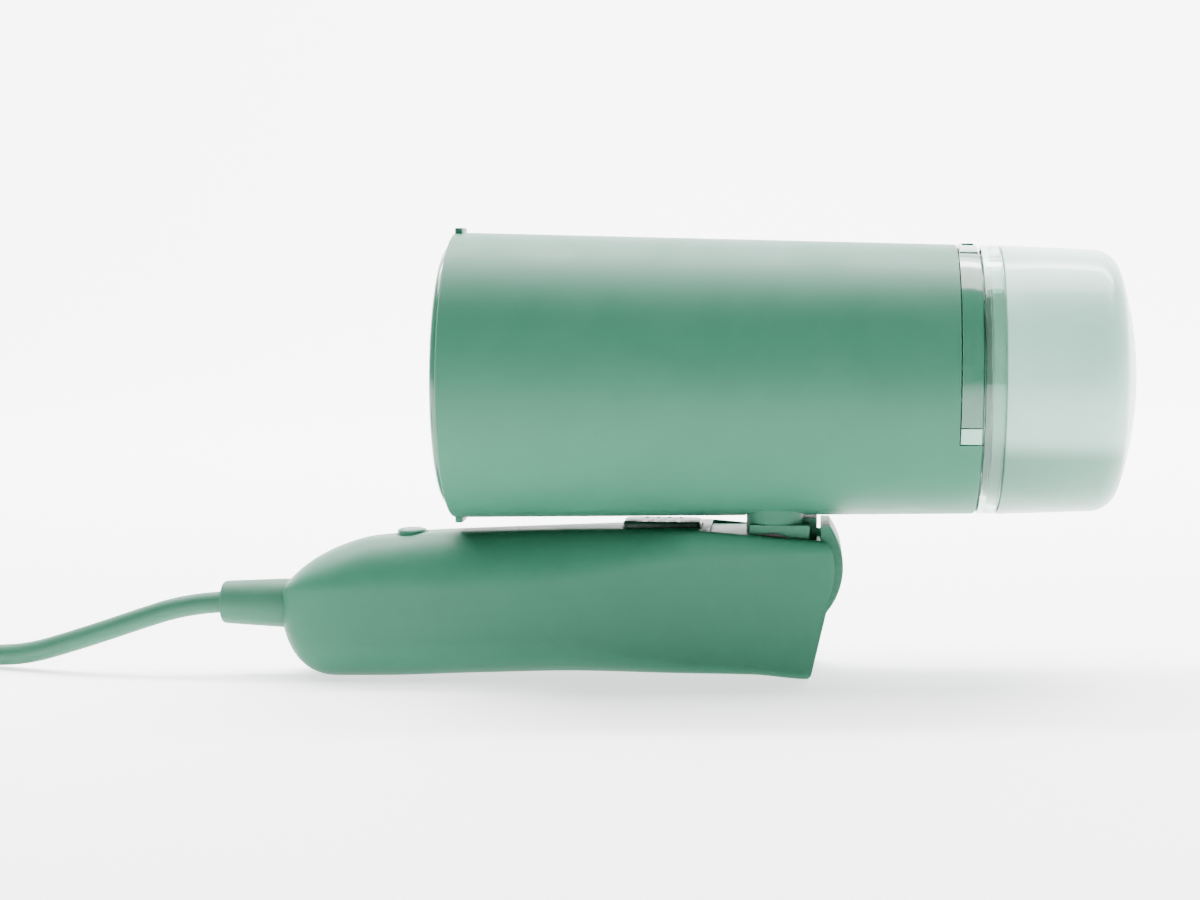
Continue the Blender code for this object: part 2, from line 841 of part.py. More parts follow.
def make_stopper(parent, silicone):
    """The soft plug that closes the filler mouth, with a tab to pull it by."""
    head_back = spigot_front - gap
    head_front = head_back - stopper_head
    profile = [
        (head_front, 0),
        (head_back + stopper_length, 0),
        (head_back + stopper_length, filler_radius - 1 * mm),
        (head_back + stopper_length - 1 * mm, filler_radius),
        (head_back, filler_radius),
        (head_back, filler_radius + 1.8 * mm),
        (head_front, filler_radius + 1.8 * mm),
    ]
    stopper = add("filler_stopper", turned(profile, 28), silicone, parent)
    tab = block((head_front - 1.2 * mm, -4 * mm, 2 * mm), (head_front + 0.8 * mm, 4 * mm, 3.6 * mm))
    combine(stopper, tool("stopper_tab", tab, stopper), "UNION")


# Fold hinge

def neck_outline(grow):
    """The neck seen from above."""
    half = neck_half_width + grow
    return rounded_outline(neck_left - grow, neck_right + grow, -half, half, neck_corner + grow, 4)


def make_hinge(parent, satin, steel, black):
    """The drum under the barrel that the handle folds on, with the neck that carries it."""
    drum = add(
        "hinge_drum",
        rod(-drum_half_width, drum_half_width, drum_radius, 48, "Y"),
        satin,
        parent,
    )
    reach = drum_radius + 1 * mm
    left = block((-reach, -reach, drum_flat_left), (neck_left + 1 * mm, reach, reach))
    combine(drum, tool("drum_flat_left", left, drum))
    right = block((-reach, -reach, drum_flat_right), (reach, reach, reach))
    combine(drum, tool("drum_flat_right", right, drum))
    slot = block((rib_right - 2 * mm, -reach, drum_flat_left - 3 * mm), (rib_right + 1 * mm, reach, reach))
    combine(drum, tool("rib_slot", slot, drum))
    flange_top = barrel_height - barrel_radius(0) + barrel_wall + 5.2 * mm
    neck = extruded(neck_outline(0), 4 * mm, flange_top, "Z")
    combine(drum, tool("neck", neck, drum), "UNION")
    rib = block((0, -rib_half_width, 3 * mm), (rib_right, rib_half_width, barrel_bottom() - gap))
    combine(drum, tool("neck_rib", rib, drum), "UNION")
    bore = rod(-reach, reach, pin_radius + gap, 24, "Y")
    combine(drum, tool("pin_bore", bore, drum))
    duct_outline = rounded_outline(-3.4 * mm, 4.4 * mm, -9 * mm, 9 * mm, 2 * mm, 2)
    duct = extruded(duct_outline, 6 * mm, reach + 9 * mm, "Z")
    combine(drum, tool("wire_duct", duct, drum))
    clamp_end = 12 * mm
    inner = barrel_radius(clamp_end) - barrel_wall - snug_gap
    clamp = add("neck_clamp", rod(-11 * mm, clamp_end, inner, 64), black, parent, at=(0, 0, barrel_height))
    above = block((-20 * mm, -inner, -inner + 6.4 * mm), (20 * mm, inner, inner))
    combine(clamp, tool("clamp_above", above, clamp))
    door = extruded(neck_outline(gap), -barrel_height, 0, "Z")
    combine(clamp, tool("clamp_door", door, clamp))
    reach = drum_half_width + hinge_side_gap + 1.5 * mm
    pin = rod(-reach, reach, pin_radius, 24, "Y")
    add("hinge_pin", pin, steel, parent)
    for name, side in (("hinge_washer_left", -1), ("hinge_washer_right", 1)):
        inner = side * (drum_half_width + gap)
        outer = side * (drum_half_width + gap + washer_thickness)
        washer = tube(min(inner, outer), max(inner, outer), pin_radius + gap, washer_radius, 20, "Y")
        add(name, washer, black, parent)


def barrel_bottom():
    return barrel_height - barrel_radius(0)


# Handle

def superellipse(share, power):
    return max(0.0, 1 - abs(share) ** power) ** (1 / power)


def handle_top(station):
    """Height of the handle's upper outline: a round tail, then a long flat rise towards the hinge."""
    if station < handle_top_start:
        share = (handle_top_start - station) / (handle_top_start - handle_tail)
        start = between(handle_top_rows, handle_top_start)
        return handle_tail_height + (start - handle_tail_height) * superellipse(share, 1.6)
    return between(handle_top_rows, station)


def handle_bottom(station):
    """Height of the lower outline: a round tail, a flat foot, then a shallow arch to the heel."""
    left, right = handle_foot
    base = handle_foot_height + (station - left) * floor_slope
    if station < left:
        share = (left - station) / (left - handle_tail)
        return handle_tail_height + (handle_foot_height - handle_tail_height) * superellipse(share, 2.2)
    return base + between(handle_arch_rows, station)


def handle_side(station):
    """Half the handle's width."""
    start = handle_foot[0] + 5 * mm
    if station < start:
        share = (start - station) / (start - handle_tail)
        return handle_tail_half_width * superellipse(share, 2.2)
    widths = ((start, handle_tail_half_width), (-60 * mm, 16.2 * mm), (-20 * mm, handle_half_width))
    return between(widths, min(station, widths[-1][0]))


handle_top_rows = (
    (handle_top_start, 5.5 * mm),
    (-93 * mm, 6.7 * mm),
    (-81 * mm, 7.4 * mm),
    (-40 * mm, 9.0 * mm),
    (-19 * mm, 9.4 * mm),
    (-8 * mm, 8.7 * mm),
    (12 * mm, 7.4 * mm),
    (30 * mm, 7.2 * mm),
)
handle_arch_rows = (
    (handle_foot[0], 0),
    (handle_foot[1], 0),
    (-81 * mm, 0.6 * mm),
    (-47 * mm, 1.3 * mm),
    (-18 * mm, 1.45 * mm),
    (-5 * mm, 1.25 * mm),
    (10.3 * mm, 0),
    (30 * mm, 0),
)
handle_stations = (
    *(-131.9, -131.0, -129.4, -126.6, -122.4, -117.0, -110.5, -104.0, -93.0),
    *(-81.0, -60.0, -40.0, -19.0, -8.0, 2.0, 10.3, 22.0),
)
handle_upper_corner = (
    (-133 * mm, 1.0),
    (handle_top_start, 0.86),
    (-60 * mm, 0.72),
    (-30 * mm, 0.45),
    (-17 * mm, 0.13),
    (30 * mm, 0.13),
)
handle_lower_corner = (
    (-133 * mm, handle_tail_half_width - foot_half_width),
    (-60 * mm, handle_tail_half_width - foot_half_width),
    (-15 * mm, 3 * mm),
    (30 * mm, 1.5 * mm),
)
handle_crease = ((-133 * mm, -8.6 * mm), (-72 * mm, -6.4 * mm), (-17 * mm, 2.0 * mm), (30 * mm, 5.0 * mm))


def handle_ring(station, inset=0.0):
    """One cross-section: sides upright below a crease, a rounded back above it and a flat foot."""
    high = handle_top(station) - inset
    low = handle_bottom(station) + inset
    half = handle_side(station) - inset
    crease = min(max(between(handle_crease, station), low + (high - low) * 0.35), high - 1.5 * mm)
    run = between(handle_upper_corner, station) * half
    corner = between(handle_lower_corner, station)
    flat = max(half - corner, half * 0.3)
    drop = min(half - flat, (crease - low) * 0.62)
    quarter = []
    for step in range(5):
        angle = math.pi / 2 * step / 4
        quarter.append((half - run * (1 - math.cos(angle)), crease + (high - crease) * math.sin(angle)))
    lower = []
    for step in range(5):
        angle = math.pi / 2 * step / 4
        lower.append((flat + (half - flat) * math.sin(angle), low + drop * (1 - math.cos(angle))))
    side = lower + quarter
    return [(station, y, z) for y, z in side] + [(station, -y, z) for y, z in reversed(side)]


def handle_skin(inset=0.0, start=None, end=None):
    stations = [value * mm for value in handle_stations]
    if start is not None:
        stations = [start] + [value for value in stations if start < value < end] + [end]
    return lofted([handle_ring(station, inset) for station in stations])


def barrel_sweep(parent):
    """The space that the barrel passes through as it folds: shut, open, and the turn between."""
    clear = sliding_gap
    cone = [
        (barrel_front - 20 * mm, 0),
        (barrel_back + 30 * mm, 0),
        (barrel_back + 30 * mm, barrel_back_radius + clear),
        (barrel_back, barrel_back_radius + clear),
        (barrel_front, barrel_front_radius + clear),
        (barrel_front - 20 * mm, barrel_front_radius + clear),
    ]
    open_turn = tool("barrel_open", turned(cone, 64), parent)
    open_turn.matrix_basis = Matrix.Rotation(fold_range, 4, "Y") @ Matrix.Translation((0, 0, barrel_height))
    form = bmesh.new()
    radius = barrel_radius(0) + clear
    circle = bmesh.ops.create_circle(form, cap_ends=False, radius=radius, segments=64)["verts"]
    bmesh.ops.rotate(form, verts=circle, cent=(0, 0, 0), matrix=Matrix.Rotation(math.pi / 2, 3, "Y"))
    bmesh.ops.translate(form, verts=circle, vec=(0, 0, barrel_height))
    edges = list(form.edges)
    bmesh.ops.spin(form, geom=circle + edges, cent=(0, 0, 0), axis=(0, 1, 0), angle=fold_range, steps=20)
    ends = [edge for edge in form.edges if edge.is_boundary]
    bmesh.ops.holes_fill(form, edges=ends, sides=0)
    turning = tool("barrel_turning", finished(form), parent)
    return turning, open_turn


def make_handle(parent, satin):
    """The two moulded halves of the handle, hollow from the tail to the hinge."""
    turning, open_turn = barrel_sweep(parent)
    cavity = tool(
        "handle_cavity", handle_skin(handle_wall, -126.0 * mm, handle_cavity_end), parent
    )
    side = drum_half_width + hinge_side_gap
    pocket = tool("drum_pocket", rod(-side, side, drum_radius + gap, 48, "Y"), parent)
    pin_hole = tool("pin_hole", rod(-side - 2 * mm, side + 2 * mm, pin_radius + gap, 24, "Y"), parent)
    half = trigger_half_width + gap
    outline = rounded_outline(trigger_left - gap, trigger_right + gap, -half, half, 3 * mm)
    trigger_hole = tool("trigger_hole", extruded(outline, 0, 20 * mm, "Z"), parent)
    power_hole = tool("power_hole", oval(gap, 0, 20 * mm), parent, at=(power_button_middle, 0, 0))
    relief_hole = tool(
        "relief_hole",
        rod(handle_tail - 10 * mm, relief_inner, relief_root_radius + gap, 24),
        parent,
        at=(0, 0, relief_height),
    )
    bosses, wells = [], []
    for i, (station, height) in enumerate(screw_stations):
        at = (station, 0, height)
        reach = handle_side(station) - handle_wall + 0.8 * mm
        if station < handle_cavity_end:
            boss = rod(-reach, reach, screw_boss_radius, 16, "Y")
            bosses.append(tool(f"screw_boss_{i}", boss, parent, at=at))
        well = turned(screw_profile(gap, 40 * mm), 16, "Y")
        wells.append(tool(f"screw_well_{i}", well, parent, at=at))
    for name, hand in (("handle_shell_left", -1), ("handle_shell_right", 1)):
        shell = add(name, handle_skin(), satin, parent)
        combine(shell, cavity)
        for boss in bosses:
            combine(shell, boss, "UNION")
        low, high = sorted((hand * gap / 2, -hand * 40 * mm))
        other = block((-160 * mm, low, -60 * mm), (60 * mm, high, 60 * mm))
        combine(shell, tool(name + "_other_half", other, parent))
        for cutter in (pocket, pin_hole, turning, open_turn, trigger_hole, power_hole, relief_hole):
            combine(shell, cutter)
        for cutter in wells:
            combine(shell, cutter)


def oval(grow, low, high):
    form = bmesh.new()
    bmesh.ops.create_cone(form, cap_ends=True, segments=24, radius1=1, radius2=1, depth=1)
    along, across = power_button_radii
    bmesh.ops.scale(form, vec=(along + grow, across + grow, high - low), verts=form.verts)
    bmesh.ops.translate(form, vec=(0, 0, (low + high) / 2), verts=form.verts)
    return finished(form)


def make_trigger(parent, dark):
    """The steam trigger: a pad that stands out of the handle's back, with a lip that holds it in."""
    lip_top = trigger_lip_top()
    lip_low = lip_top - 1.4 * mm
    pad = rounded_outline(trigger_left, trigger_right, -trigger_half_width, trigger_half_width, 3 * mm)
    trigger = add("trigger", extruded(pad, lip_low, trigger_top, "Z"), dark, parent)
    lip = extruded(
        rounded_outline(
            trigger_left - button_lip,
            trigger_right,
            -trigger_half_width - button_lip,
            trigger_half_width + button_lip,
            3 * mm,
        ),
        lip_low,
        lip_top,
        "Z",
    )
    combine(trigger, tool("trigger_lip", lip, trigger), "UNION")
    middle = (trigger_left + trigger_right) / 2
    stem = rod(lip_low - 4 * mm, lip_low + 0.5 * mm, 2 * mm, 12, "Z")
    combine(trigger, tool("trigger_stem", stem, trigger, at=(middle + 4 * mm, 0, 0)), "UNION")
    return lip_low


def trigger_lip_top():
    return handle_top(trigger_left) - handle_wall - gap - 0.2 * mm


def make_handle_electrics(parent, trigger_low, black, green, steel):
    """The switches, the board that carries them and the spring under the trigger."""
    middle = (trigger_left + trigger_right) / 2
    switch_top = trigger_low - 4 * mm - trigger_travel - gap
    board_top = switch_top - 6.5 * mm
    switch = block((middle - 3 * mm, -3.2 * mm, board_top + gap), (middle + 8 * mm, 3.2 * mm, switch_top))
    add("micro_switch", switch, black, parent)
    board = block(
        (power_button_middle - 8 * mm, -8 * mm, board_top - 1.6 * mm), (middle + 9 * mm, 8 * mm, board_top)
    )
    add("circuit_board", board, green, parent)
    station = middle - 6.5 * mm
    coils = helix(board_top + gap + 0.4 * mm, trigger_low - gap - 0.4 * mm, 2.4 * mm, 5, 8)
    points = [(station + y, z, x) for x, y, z in coils]
    wire("trigger_spring", points, 0.35 * mm, steel, parent, 0)
    low = power_stem_end() - power_button_travel - gap
    size = 5 * mm
    switch = block(
        (power_button_middle - size, -size, board_top + gap), (power_button_middle + size, size, low)
    )
    add("power_switch", switch, black, parent)


def power_stem_end():
    return handle_top(power_button_middle - power_button_radii[0]) - handle_wall - 4.5 * mm


def make_power_button(parent, satin):
    along, across = power_button_radii
    wall_low = handle_top(power_button_middle - along - button_lip) - handle_wall
    lip_top = wall_low - gap - 0.2 * mm
    button = add("power_button", oval(0, lip_top - 1 * mm, power_button_top), satin, parent)
    lip = oval(button_lip, lip_top - 1 * mm, lip_top)
    combine(button, tool("power_lip", lip, button), "UNION")
    stem = rod(power_stem_end(), lip_top, 1.8 * mm, 12, "Z")
    combine(button, tool("power_stem", stem, button), "UNION")
    soften(button, 0.4 * mm, 1, 60)


def screw_profile(grow, head_length):
    """A screw along Y with its head towards +Y, or the well that it sits in."""
    head = handle_half_width - screw_head_depth - grow
    return [
        (-screw_reach - grow, 0),
        (head + head_length, 0),
        (head + head_length, screw_head_radius + grow),
        (head, screw_head_radius + grow),
        (head, screw_shank_radius + grow),
        (-screw_reach - grow, screw_shank_radius + grow),
    ]


def make_handle_screws(parent, steel):
    for i, (station, height) in enumerate(screw_stations):
        screw = turned(screw_profile(0, 1.8 * mm), 14, "Y")
        add(f"handle_screw_{i + 1}", screw, steel, parent, at=(station, 0, height))


# Mains cord

def make_relief(parent, rubber, black):
    """The tapered sleeve that the cord leaves the handle by, and the clamp that grips the cord inside."""
    profile = [
        (relief_tip, 0),
        (relief_inner + 3 * mm, 0),
        (relief_inner + 3 * mm, relief_flange_radius),
        (relief_inner + gap, relief_flange_radius),
        (relief_inner + gap, relief_root_radius),
        (handle_tail, relief_root_radius),
        (relief_tip + 1.2 * mm, relief_tip_radius),
        (relief_tip, relief_tip_radius - 1.2 * mm),
    ]
    add("strain_relief", turned(profile[::-1], 24), rubber, parent, at=(0, 0, relief_height))
    start = relief_inner + 3 * mm + gap
    form = block((start, -8 * mm, -4.6 * mm), (start + 7 * mm, 8 * mm, 4.6 * mm))
    clamp = add("cord_clamp", form, black, parent)
    clamp.location = (0, 0, relief_height)
    groove = rod(start - 1 * mm, start + 8 * mm, cord_radius, 16)
    combine(clamp, tool("cord_groove", groove, clamp))


def make_cord(exit_point, rubber, black, brass):
    """The cord from the sleeve down to the floor, its coil, the tie round the coil and the plug."""
    x, y, z = exit_point
    floor = cord_radius
    drop = z - floor
    route = [
        (x, y, z),
        (x - 8 * mm, y, z - 0.05 * drop),
        (x - 17 * mm, y, z - 0.17 * drop),
        (x - 39.5 * mm, y + 1.5 * mm, z - 0.61 * drop),
        (x - 56 * mm, y + 6 * mm, z - 0.90 * drop),
        (x - 70 * mm, y + 11 * mm, floor + 0.1 * mm),
        (x - 84 * mm, y + 14 * mm, floor),
        (x - 92 * mm, y + 14.5 * mm, floor),
    ]
    wire("power_cord", smooth_route(route, 3.2 * mm), cord_radius, rubber, None)
    pitch = 2 * cord_radius
    outer_turn = coil_middle_radius + pitch
    outer = coil_middle_radius + coil_band_width / 2
    inner = coil_middle_radius - coil_band_width / 2
    end_x, end_y = route[-1][:2]
    middle = (end_x - gap - coil_stub, end_y - outer_turn, 0)
    ring = turned(
        [
            (0, inner + 1.5 * mm),
            (1.5 * mm, inner),
            (coil_height - 1.5 * mm, inner),
            (coil_height, inner + 1.5 * mm),
            (coil_height, outer - 1.5 * mm),
            (coil_height - 1.5 * mm, outer),
            (1.5 * mm, outer),
            (0, outer - 1.5 * mm),
        ],
        28,
        "Z",
    )
    coil = add("cord_coil", ring, rubber, None, at=middle)
    top = cord_radius + 2 * pitch
    for name, start, end, height in (
        ("lead_in", 1 * mm, coil_stub, floor),
        ("lead_out", -coil_stub, -1 * mm, top),
    ):
        stub = tool(name, rod(start, end, cord_radius, 12), coil, at=(0, outer_turn, height))
        combine(coil, stub, "UNION")
    make_tie(middle, inner, outer, black)
    start_x = middle[0] - coil_stub - gap
    low = plug_thickness / 2
    lead = [
        (start_x, end_y, top),
        (start_x - 6 * mm, end_y, top - 0.5 * mm),
        (start_x - 17 * mm, end_y, (top + low) / 2),
        (start_x - 28 * mm, end_y, low + 0.5 * mm),
        (start_x - 34 * mm, end_y, low),
    ]
    wire("plug_lead", smooth_route(lead, 3.4 * mm), cord_radius, rubber, None)
    make_plug((lead[-1][0] - gap, end_y), black, brass)


def make_tie(middle, inner, outer, black):
    """A hook-and-loop strap, closed round the coil."""
    band = 0.9 * mm
    near, far = inner - 1.2 * mm, outer + gap
    form = rounded_outline(near - band, far + band, gap, coil_height + gap + band, 2 * mm, 2)
    quarter_turn = (0, 0, -math.pi / 2)
    strap = add("cord_tie", extruded(form, -6 * mm, 6 * mm), black, None, at=middle, turn=quarter_turn)
    hole = extruded(rounded_outline(near, far, -1 * mm, coil_height + gap, 1.5 * mm, 2), -9 * mm, 9 * mm)
    combine(strap, tool("tie_inside", hole, strap))


def make_plug(meeting, black, brass):
    """A flat two-pin plug, lying on its side with its tail against the coil."""
    x, y = meeting
    height = plug_thickness / 2
    tail = cord_radius + 1.6 * mm
    rings = []
    for along, half_wide, half_tall in (
        (0.0, tail, tail),
        (9 * mm, tail + 0.8 * mm, tail + 0.6 * mm),
        (15 * mm, plug_width / 2 - 2.4 * mm, plug_thickness / 2 - 0.6 * mm),
        (24 * mm, plug_width / 2, plug_thickness / 2),
        (plug_length, plug_width / 2 - 1.0 * mm, plug_thickness / 2 - 0.4 * mm),
    ):
        outline = rounded_outline(-half_wide, half_wide, -half_tall, half_tall, half_tall * 0.75, 3)
        rings.append([(-along, across, up) for across, up in outline])
    add("plug_body", lofted(rings), black, None, at=(x, y, height))
    for name, side in (("plug_pin_left", -1), ("plug_pin_right", 1)):
        start = plug_length + gap
        pin = turned(
            [
                (-start, 0),
                (-start, plug_pin_radius),
                (-start - plug_pin_length + 1 * mm, plug_pin_radius),
                (-start - plug_pin_length, plug_pin_radius - 0.8 * mm),
                (-start - plug_pin_length, 0),
            ],
            16,
        )
        add(name, pin, brass, None, at=(x, y + side * plug_pin_spacing / 2, height))


# Assembly

def put_on_floor(stand):
    """Moves the stand so that the steamer's underside is at height 0 and its middle is over the origin."""
    bpy.context.view_layer.update()
    graph = bpy.context.evaluated_depsgraph_get()
    corners = []
    for piece in bpy.context.scene.objects:
        if piece.type in ("MESH", "CURVE") and not piece.hide_render and piece.name != "strain_relief":
            seen = piece.evaluated_get(graph)
            mesh = seen.to_mesh()
            corners += [seen.matrix_world @ vertex.co for vertex in mesh.vertices]
            seen.to_mesh_clear()
    left, right = min(c.x for c in corners), max(c.x for c in corners)
    stand.location.x -= (left + right) / 2
    stand.location.z -= min(c.z for c in corners)
    bpy.context.view_layer.update()


def main():
    satin = look("satin_green", (0.16, 0.42, 0.30), 0.45)
    gloss = look("gloss_green", (0.20, 0.48, 0.35), 0.12)
    pale = look("pale_green", (0.62, 0.80, 0.72), 0.35)
    dark = look("dark_green", (0.02, 0.08, 0.055), 0.4)
    clear = look("clear_tank", (0.70, 0.90, 0.82), 0.08, alpha=0.4)
    frosted = look("frosted_tank", (0.75, 0.90, 0.84), 0.45, alpha=0.7)
    steel = look("steel", (0.62, 0.63, 0.64), 0.3, 1.0)
    aluminium = look("cast_aluminium", (0.70, 0.71, 0.72), 0.5, 1.0)
    copper = look("copper_winding", (0.72, 0.36, 0.18), 0.4, 1.0)
    silicone = look("silicone", (0.80, 0.82, 0.80), 0.6)
    plastic = look("white_plastic", (0.78, 0.80, 0.78), 0.5)
    black = look("black_plastic", (0.03, 0.03, 0.03), 0.5)
    board = look("board", (0.03, 0.20, 0.09), 0.5)
    rubber = look("green_rubber", (0.13, 0.32, 0.23), 0.6)
    brass = look("brass", (0.78, 0.60, 0.30), 0.3, 1.0)

    stand = empty("stand", turn=(0, lean, 0))
    barrel = empty("barrel_pivot", stand)
    make_barrel_shell(barrel, satin)
    make_latch_band(barrel, gloss, pale)
    make_front_ring(barrel, gloss)
    boiler_inlet = make_steam_head(barrel, steel, aluminium, silicone, black)
    make_pump(barrel, boiler_inlet, copper, plastic, silicone)
    make_tank_dock(barrel, plastic, silicone)
    make_hinge(barrel, satin, steel, black)
    make_release_button(barrel, gloss)

    tank = empty("tank_slide", barrel)
    head_front = make_tank(tank, clear, frosted, silicone, plastic, steel)
    make_plunger(empty("plunger_slide", tank, (0, 0, barrel_height - valve_drop)), head_front, plastic)
    make_stopper(empty("stopper_slide", tank, (0, 0, barrel_height + filler_rise)), silicone)

    make_handle(stand, satin)
    trigger_low = make_trigger(stand, dark)
    make_handle_electrics(stand, trigger_low, black, board, steel)
    make_power_button(empty("power_slide", stand, (power_button_middle, 0, 0)), satin)
    make_handle_screws(stand, steel)
    make_relief(stand, rubber, black)
    put_on_floor(stand)
    exit_point = stand.matrix_world @ Vector((relief_tip - gap, 0, relief_height))
    make_cord(exit_point, rubber, black, brass)


main()
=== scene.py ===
import json
import math

import bmesh
import bpy
from mathutils import Matrix, Vector


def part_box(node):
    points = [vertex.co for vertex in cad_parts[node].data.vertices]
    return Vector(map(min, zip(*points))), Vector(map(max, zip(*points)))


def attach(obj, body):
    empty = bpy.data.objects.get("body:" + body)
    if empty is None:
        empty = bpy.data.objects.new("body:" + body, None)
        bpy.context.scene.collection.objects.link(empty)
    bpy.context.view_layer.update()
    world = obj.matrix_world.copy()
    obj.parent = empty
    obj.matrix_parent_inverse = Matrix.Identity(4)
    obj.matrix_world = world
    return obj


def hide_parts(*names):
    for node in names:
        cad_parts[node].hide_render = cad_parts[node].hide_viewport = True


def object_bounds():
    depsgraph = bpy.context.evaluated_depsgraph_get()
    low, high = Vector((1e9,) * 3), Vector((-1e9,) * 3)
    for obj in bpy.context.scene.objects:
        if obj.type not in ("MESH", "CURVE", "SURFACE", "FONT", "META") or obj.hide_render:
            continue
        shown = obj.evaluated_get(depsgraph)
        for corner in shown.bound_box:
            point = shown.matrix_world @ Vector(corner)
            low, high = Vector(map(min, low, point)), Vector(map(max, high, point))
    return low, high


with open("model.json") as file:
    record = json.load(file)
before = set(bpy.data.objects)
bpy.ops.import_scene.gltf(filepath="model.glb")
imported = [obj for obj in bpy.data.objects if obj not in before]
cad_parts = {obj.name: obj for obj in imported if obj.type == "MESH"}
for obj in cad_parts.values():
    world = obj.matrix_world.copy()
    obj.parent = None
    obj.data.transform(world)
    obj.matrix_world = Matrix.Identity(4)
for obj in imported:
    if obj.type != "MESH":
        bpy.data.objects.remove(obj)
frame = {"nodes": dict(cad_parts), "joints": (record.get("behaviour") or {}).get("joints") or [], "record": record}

cadLow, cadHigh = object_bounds()
mm = 0.001

# Everything is drawn from the fold axis. u runs along the barrel towards the tank, and w across it, up.
joints = {joint["name"]: joint for joint in frame["joints"]}
hinge = Vector(joints["barrel_fold"]["pos_m"])
along = Vector(joints["tank_slide"]["axis"]).normalized()
lift = Vector((-along.z, 0.0, along.x))
rowToWorld = Matrix(
    (
        (along.x, 0, lift.x, hinge.x),
        (0, 1, 0, 0),
        (along.z, 0, lift.z, hinge.z),
        (0, 0, 0, 1),
    )
)
gap = 0.3 * mm


def rowPoint(u, y, w):
    return rowToWorld @ Vector((u, y, w))


# Camera
camera = dict(distance=0.6347, lens=71.9, besideHinge=9.3 * mm, height=0.1123, yaw=4.94, pitch=4.75, roll=-1.07)


def makeCamera(plan):
    data = bpy.data.cameras.new("studioCamera")
    data.lens = plan["lens"]
    data.sensor_width = 36
    data.clip_start = 0.01
    data.clip_end = 50
    eye = bpy.data.objects.new("studioCamera", data)
    bpy.context.scene.collection.objects.link(eye)
    eye.location = (hinge.x + plan["besideHinge"], -plan["distance"], plan["height"])
    yaw, pitch = math.radians(plan["yaw"]), math.radians(plan["pitch"])
    forward = Vector((-math.sin(yaw) * math.cos(pitch), math.cos(yaw) * math.cos(pitch), -math.sin(pitch)))
    turn = forward.to_track_quat("-Z", "Y").to_matrix() @ Matrix.Rotation(math.radians(plan["roll"]), 3, "Z")
    eye.rotation_mode = "QUATERNION"
    eye.rotation_quaternion = turn.to_quaternion()
    bpy.context.scene.camera = eye


makeCamera(camera)
print("camera placed")


# Materials

def nodeMaker(material):
    nodes, links = material.node_tree.nodes, material.node_tree.links

    def make(kind, inputs=None, **settings):
        node = nodes.new(kind)
        for key, value in settings.items():
            setattr(node, key, value)
        for key, value in (inputs or {}).items():
            if isinstance(value, bpy.types.NodeSocket):
                links.new(value, node.inputs[key])
            else:
                node.inputs[key].default_value = value
        return node

    return make


def makeFinish(
    name, colour, roughness, tint=0.04, grain=1800.0, grainDepth=0.02, edgeHighlight=0.0, mottle=60.0, metallic=0.0,
    coat=0.0, coatRoughness=0.05, transmission=0.0, specular=0.5, ior=1.5, stretch=(1, 1, 1), low=None,
    paintedShadeLevel=0.0, paintedShadeBlend=2 * mm, smudge=0.12, subsurface=0.0, glow=0.0,
):
    material = bpy.data.materials.new(name)
    material.use_nodes = True
    material.node_tree.nodes.clear()
    make = nodeMaker(material)
    place = make("ShaderNodeTexCoord")
    spot = make("ShaderNodeMapping", {"Vector": place.outputs["Object"], "Scale": stretch})
    cloud = make("ShaderNodeTexNoise", {"Vector": spot.outputs[0], "Scale": mottle, "Detail": 4.0})
    fine = make(
        "ShaderNodeTexNoise", {"Vector": spot.outputs[0], "Scale": grain, "Detail": 3.0, "Roughness": 0.6}
    )
    dark = tuple(channel * (1 - tint) for channel in colour)
    light = tuple(min(1.0, channel * (1 + tint)) for channel in colour)
    shade = make("ShaderNodeValToRGB", {"Fac": cloud.outputs["Fac"]})
    for element, position, tone in zip(shade.color_ramp.elements, (0.35, 0.65), (dark, light)):
        element.position = position
        element.color = (*tone, 1)
    colourOut = shade.outputs["Color"]
    if low:  # a second colour below a level that lies across the piece: painted darker lower part, standing in for shade and for the water inside
        height = make(
            "ShaderNodeVectorMath", {0: place.outputs["Object"], 1: tuple(lift)}, operation="DOT_PRODUCT"
        )
        level = hinge.dot(lift) + paintedShadeLevel
        above = make(
            "ShaderNodeMapRange",
            {"Value": height.outputs["Value"], "From Min": level - paintedShadeBlend, "From Max": level + paintedShadeBlend},
            interpolation_type="SMOOTHSTEP",
        )
        mixed = make("ShaderNodeMix", {0: above.outputs[0], 6: (*low, 1), 7: colourOut}, data_type="RGBA")
        colourOut = mixed.outputs[2]
    if edgeHighlight:  # painted highlight: paler along the sharp edges
        edge = make("ShaderNodeNewGeometry")
        edgeHighlightMask = make(
            "ShaderNodeMapRange",
            {"Value": edge.outputs["Pointiness"], "From Min": 0.52, "From Max": 0.60, "To Max": edgeHighlight},
        )
        pale = tuple(min(1.0, channel * 1.25 + 0.02) for channel in colour)
        edgeHighlightMix = make("ShaderNodeMix", {0: edgeHighlightMask.outputs[0], 6: colourOut, 7: (*pale, 1)}, data_type="RGBA")
        colourOut = edgeHighlightMix.outputs[2]
    polish = make(
        "ShaderNodeMapRange",
        {
            "Value": cloud.outputs["Fac"],
            "From Min": 0.3,
            "From Max": 0.7,
            "To Min": roughness * (1 - smudge),
            "To Max": min(1.0, roughness * (1 + smudge)),
        },
    )
    bump = make(
        "ShaderNodeBump", {"Height": fine.outputs["Fac"], "Strength": 1.0, "Distance": grainDepth * mm}
    )
    shader = make(
        "ShaderNodeBsdfPrincipled",
        {
            "Base Color": colourOut,
            "Roughness": polish.outputs[0],
            "Normal": bump.outputs[0],
            "Metallic": metallic,
            "Coat Weight": coat,
            "Coat Roughness": coatRoughness,
            "Transmission Weight": transmission,
            "Specular IOR Level": specular,
            "IOR": ior,
            "Subsurface Weight": subsurface,
            "Emission Color": (1, 1, 1, 1),
            "Emission Strength": glow,
        },
    )
    make("ShaderNodeOutputMaterial", {"Surface": shader.outputs[0]})
    return material


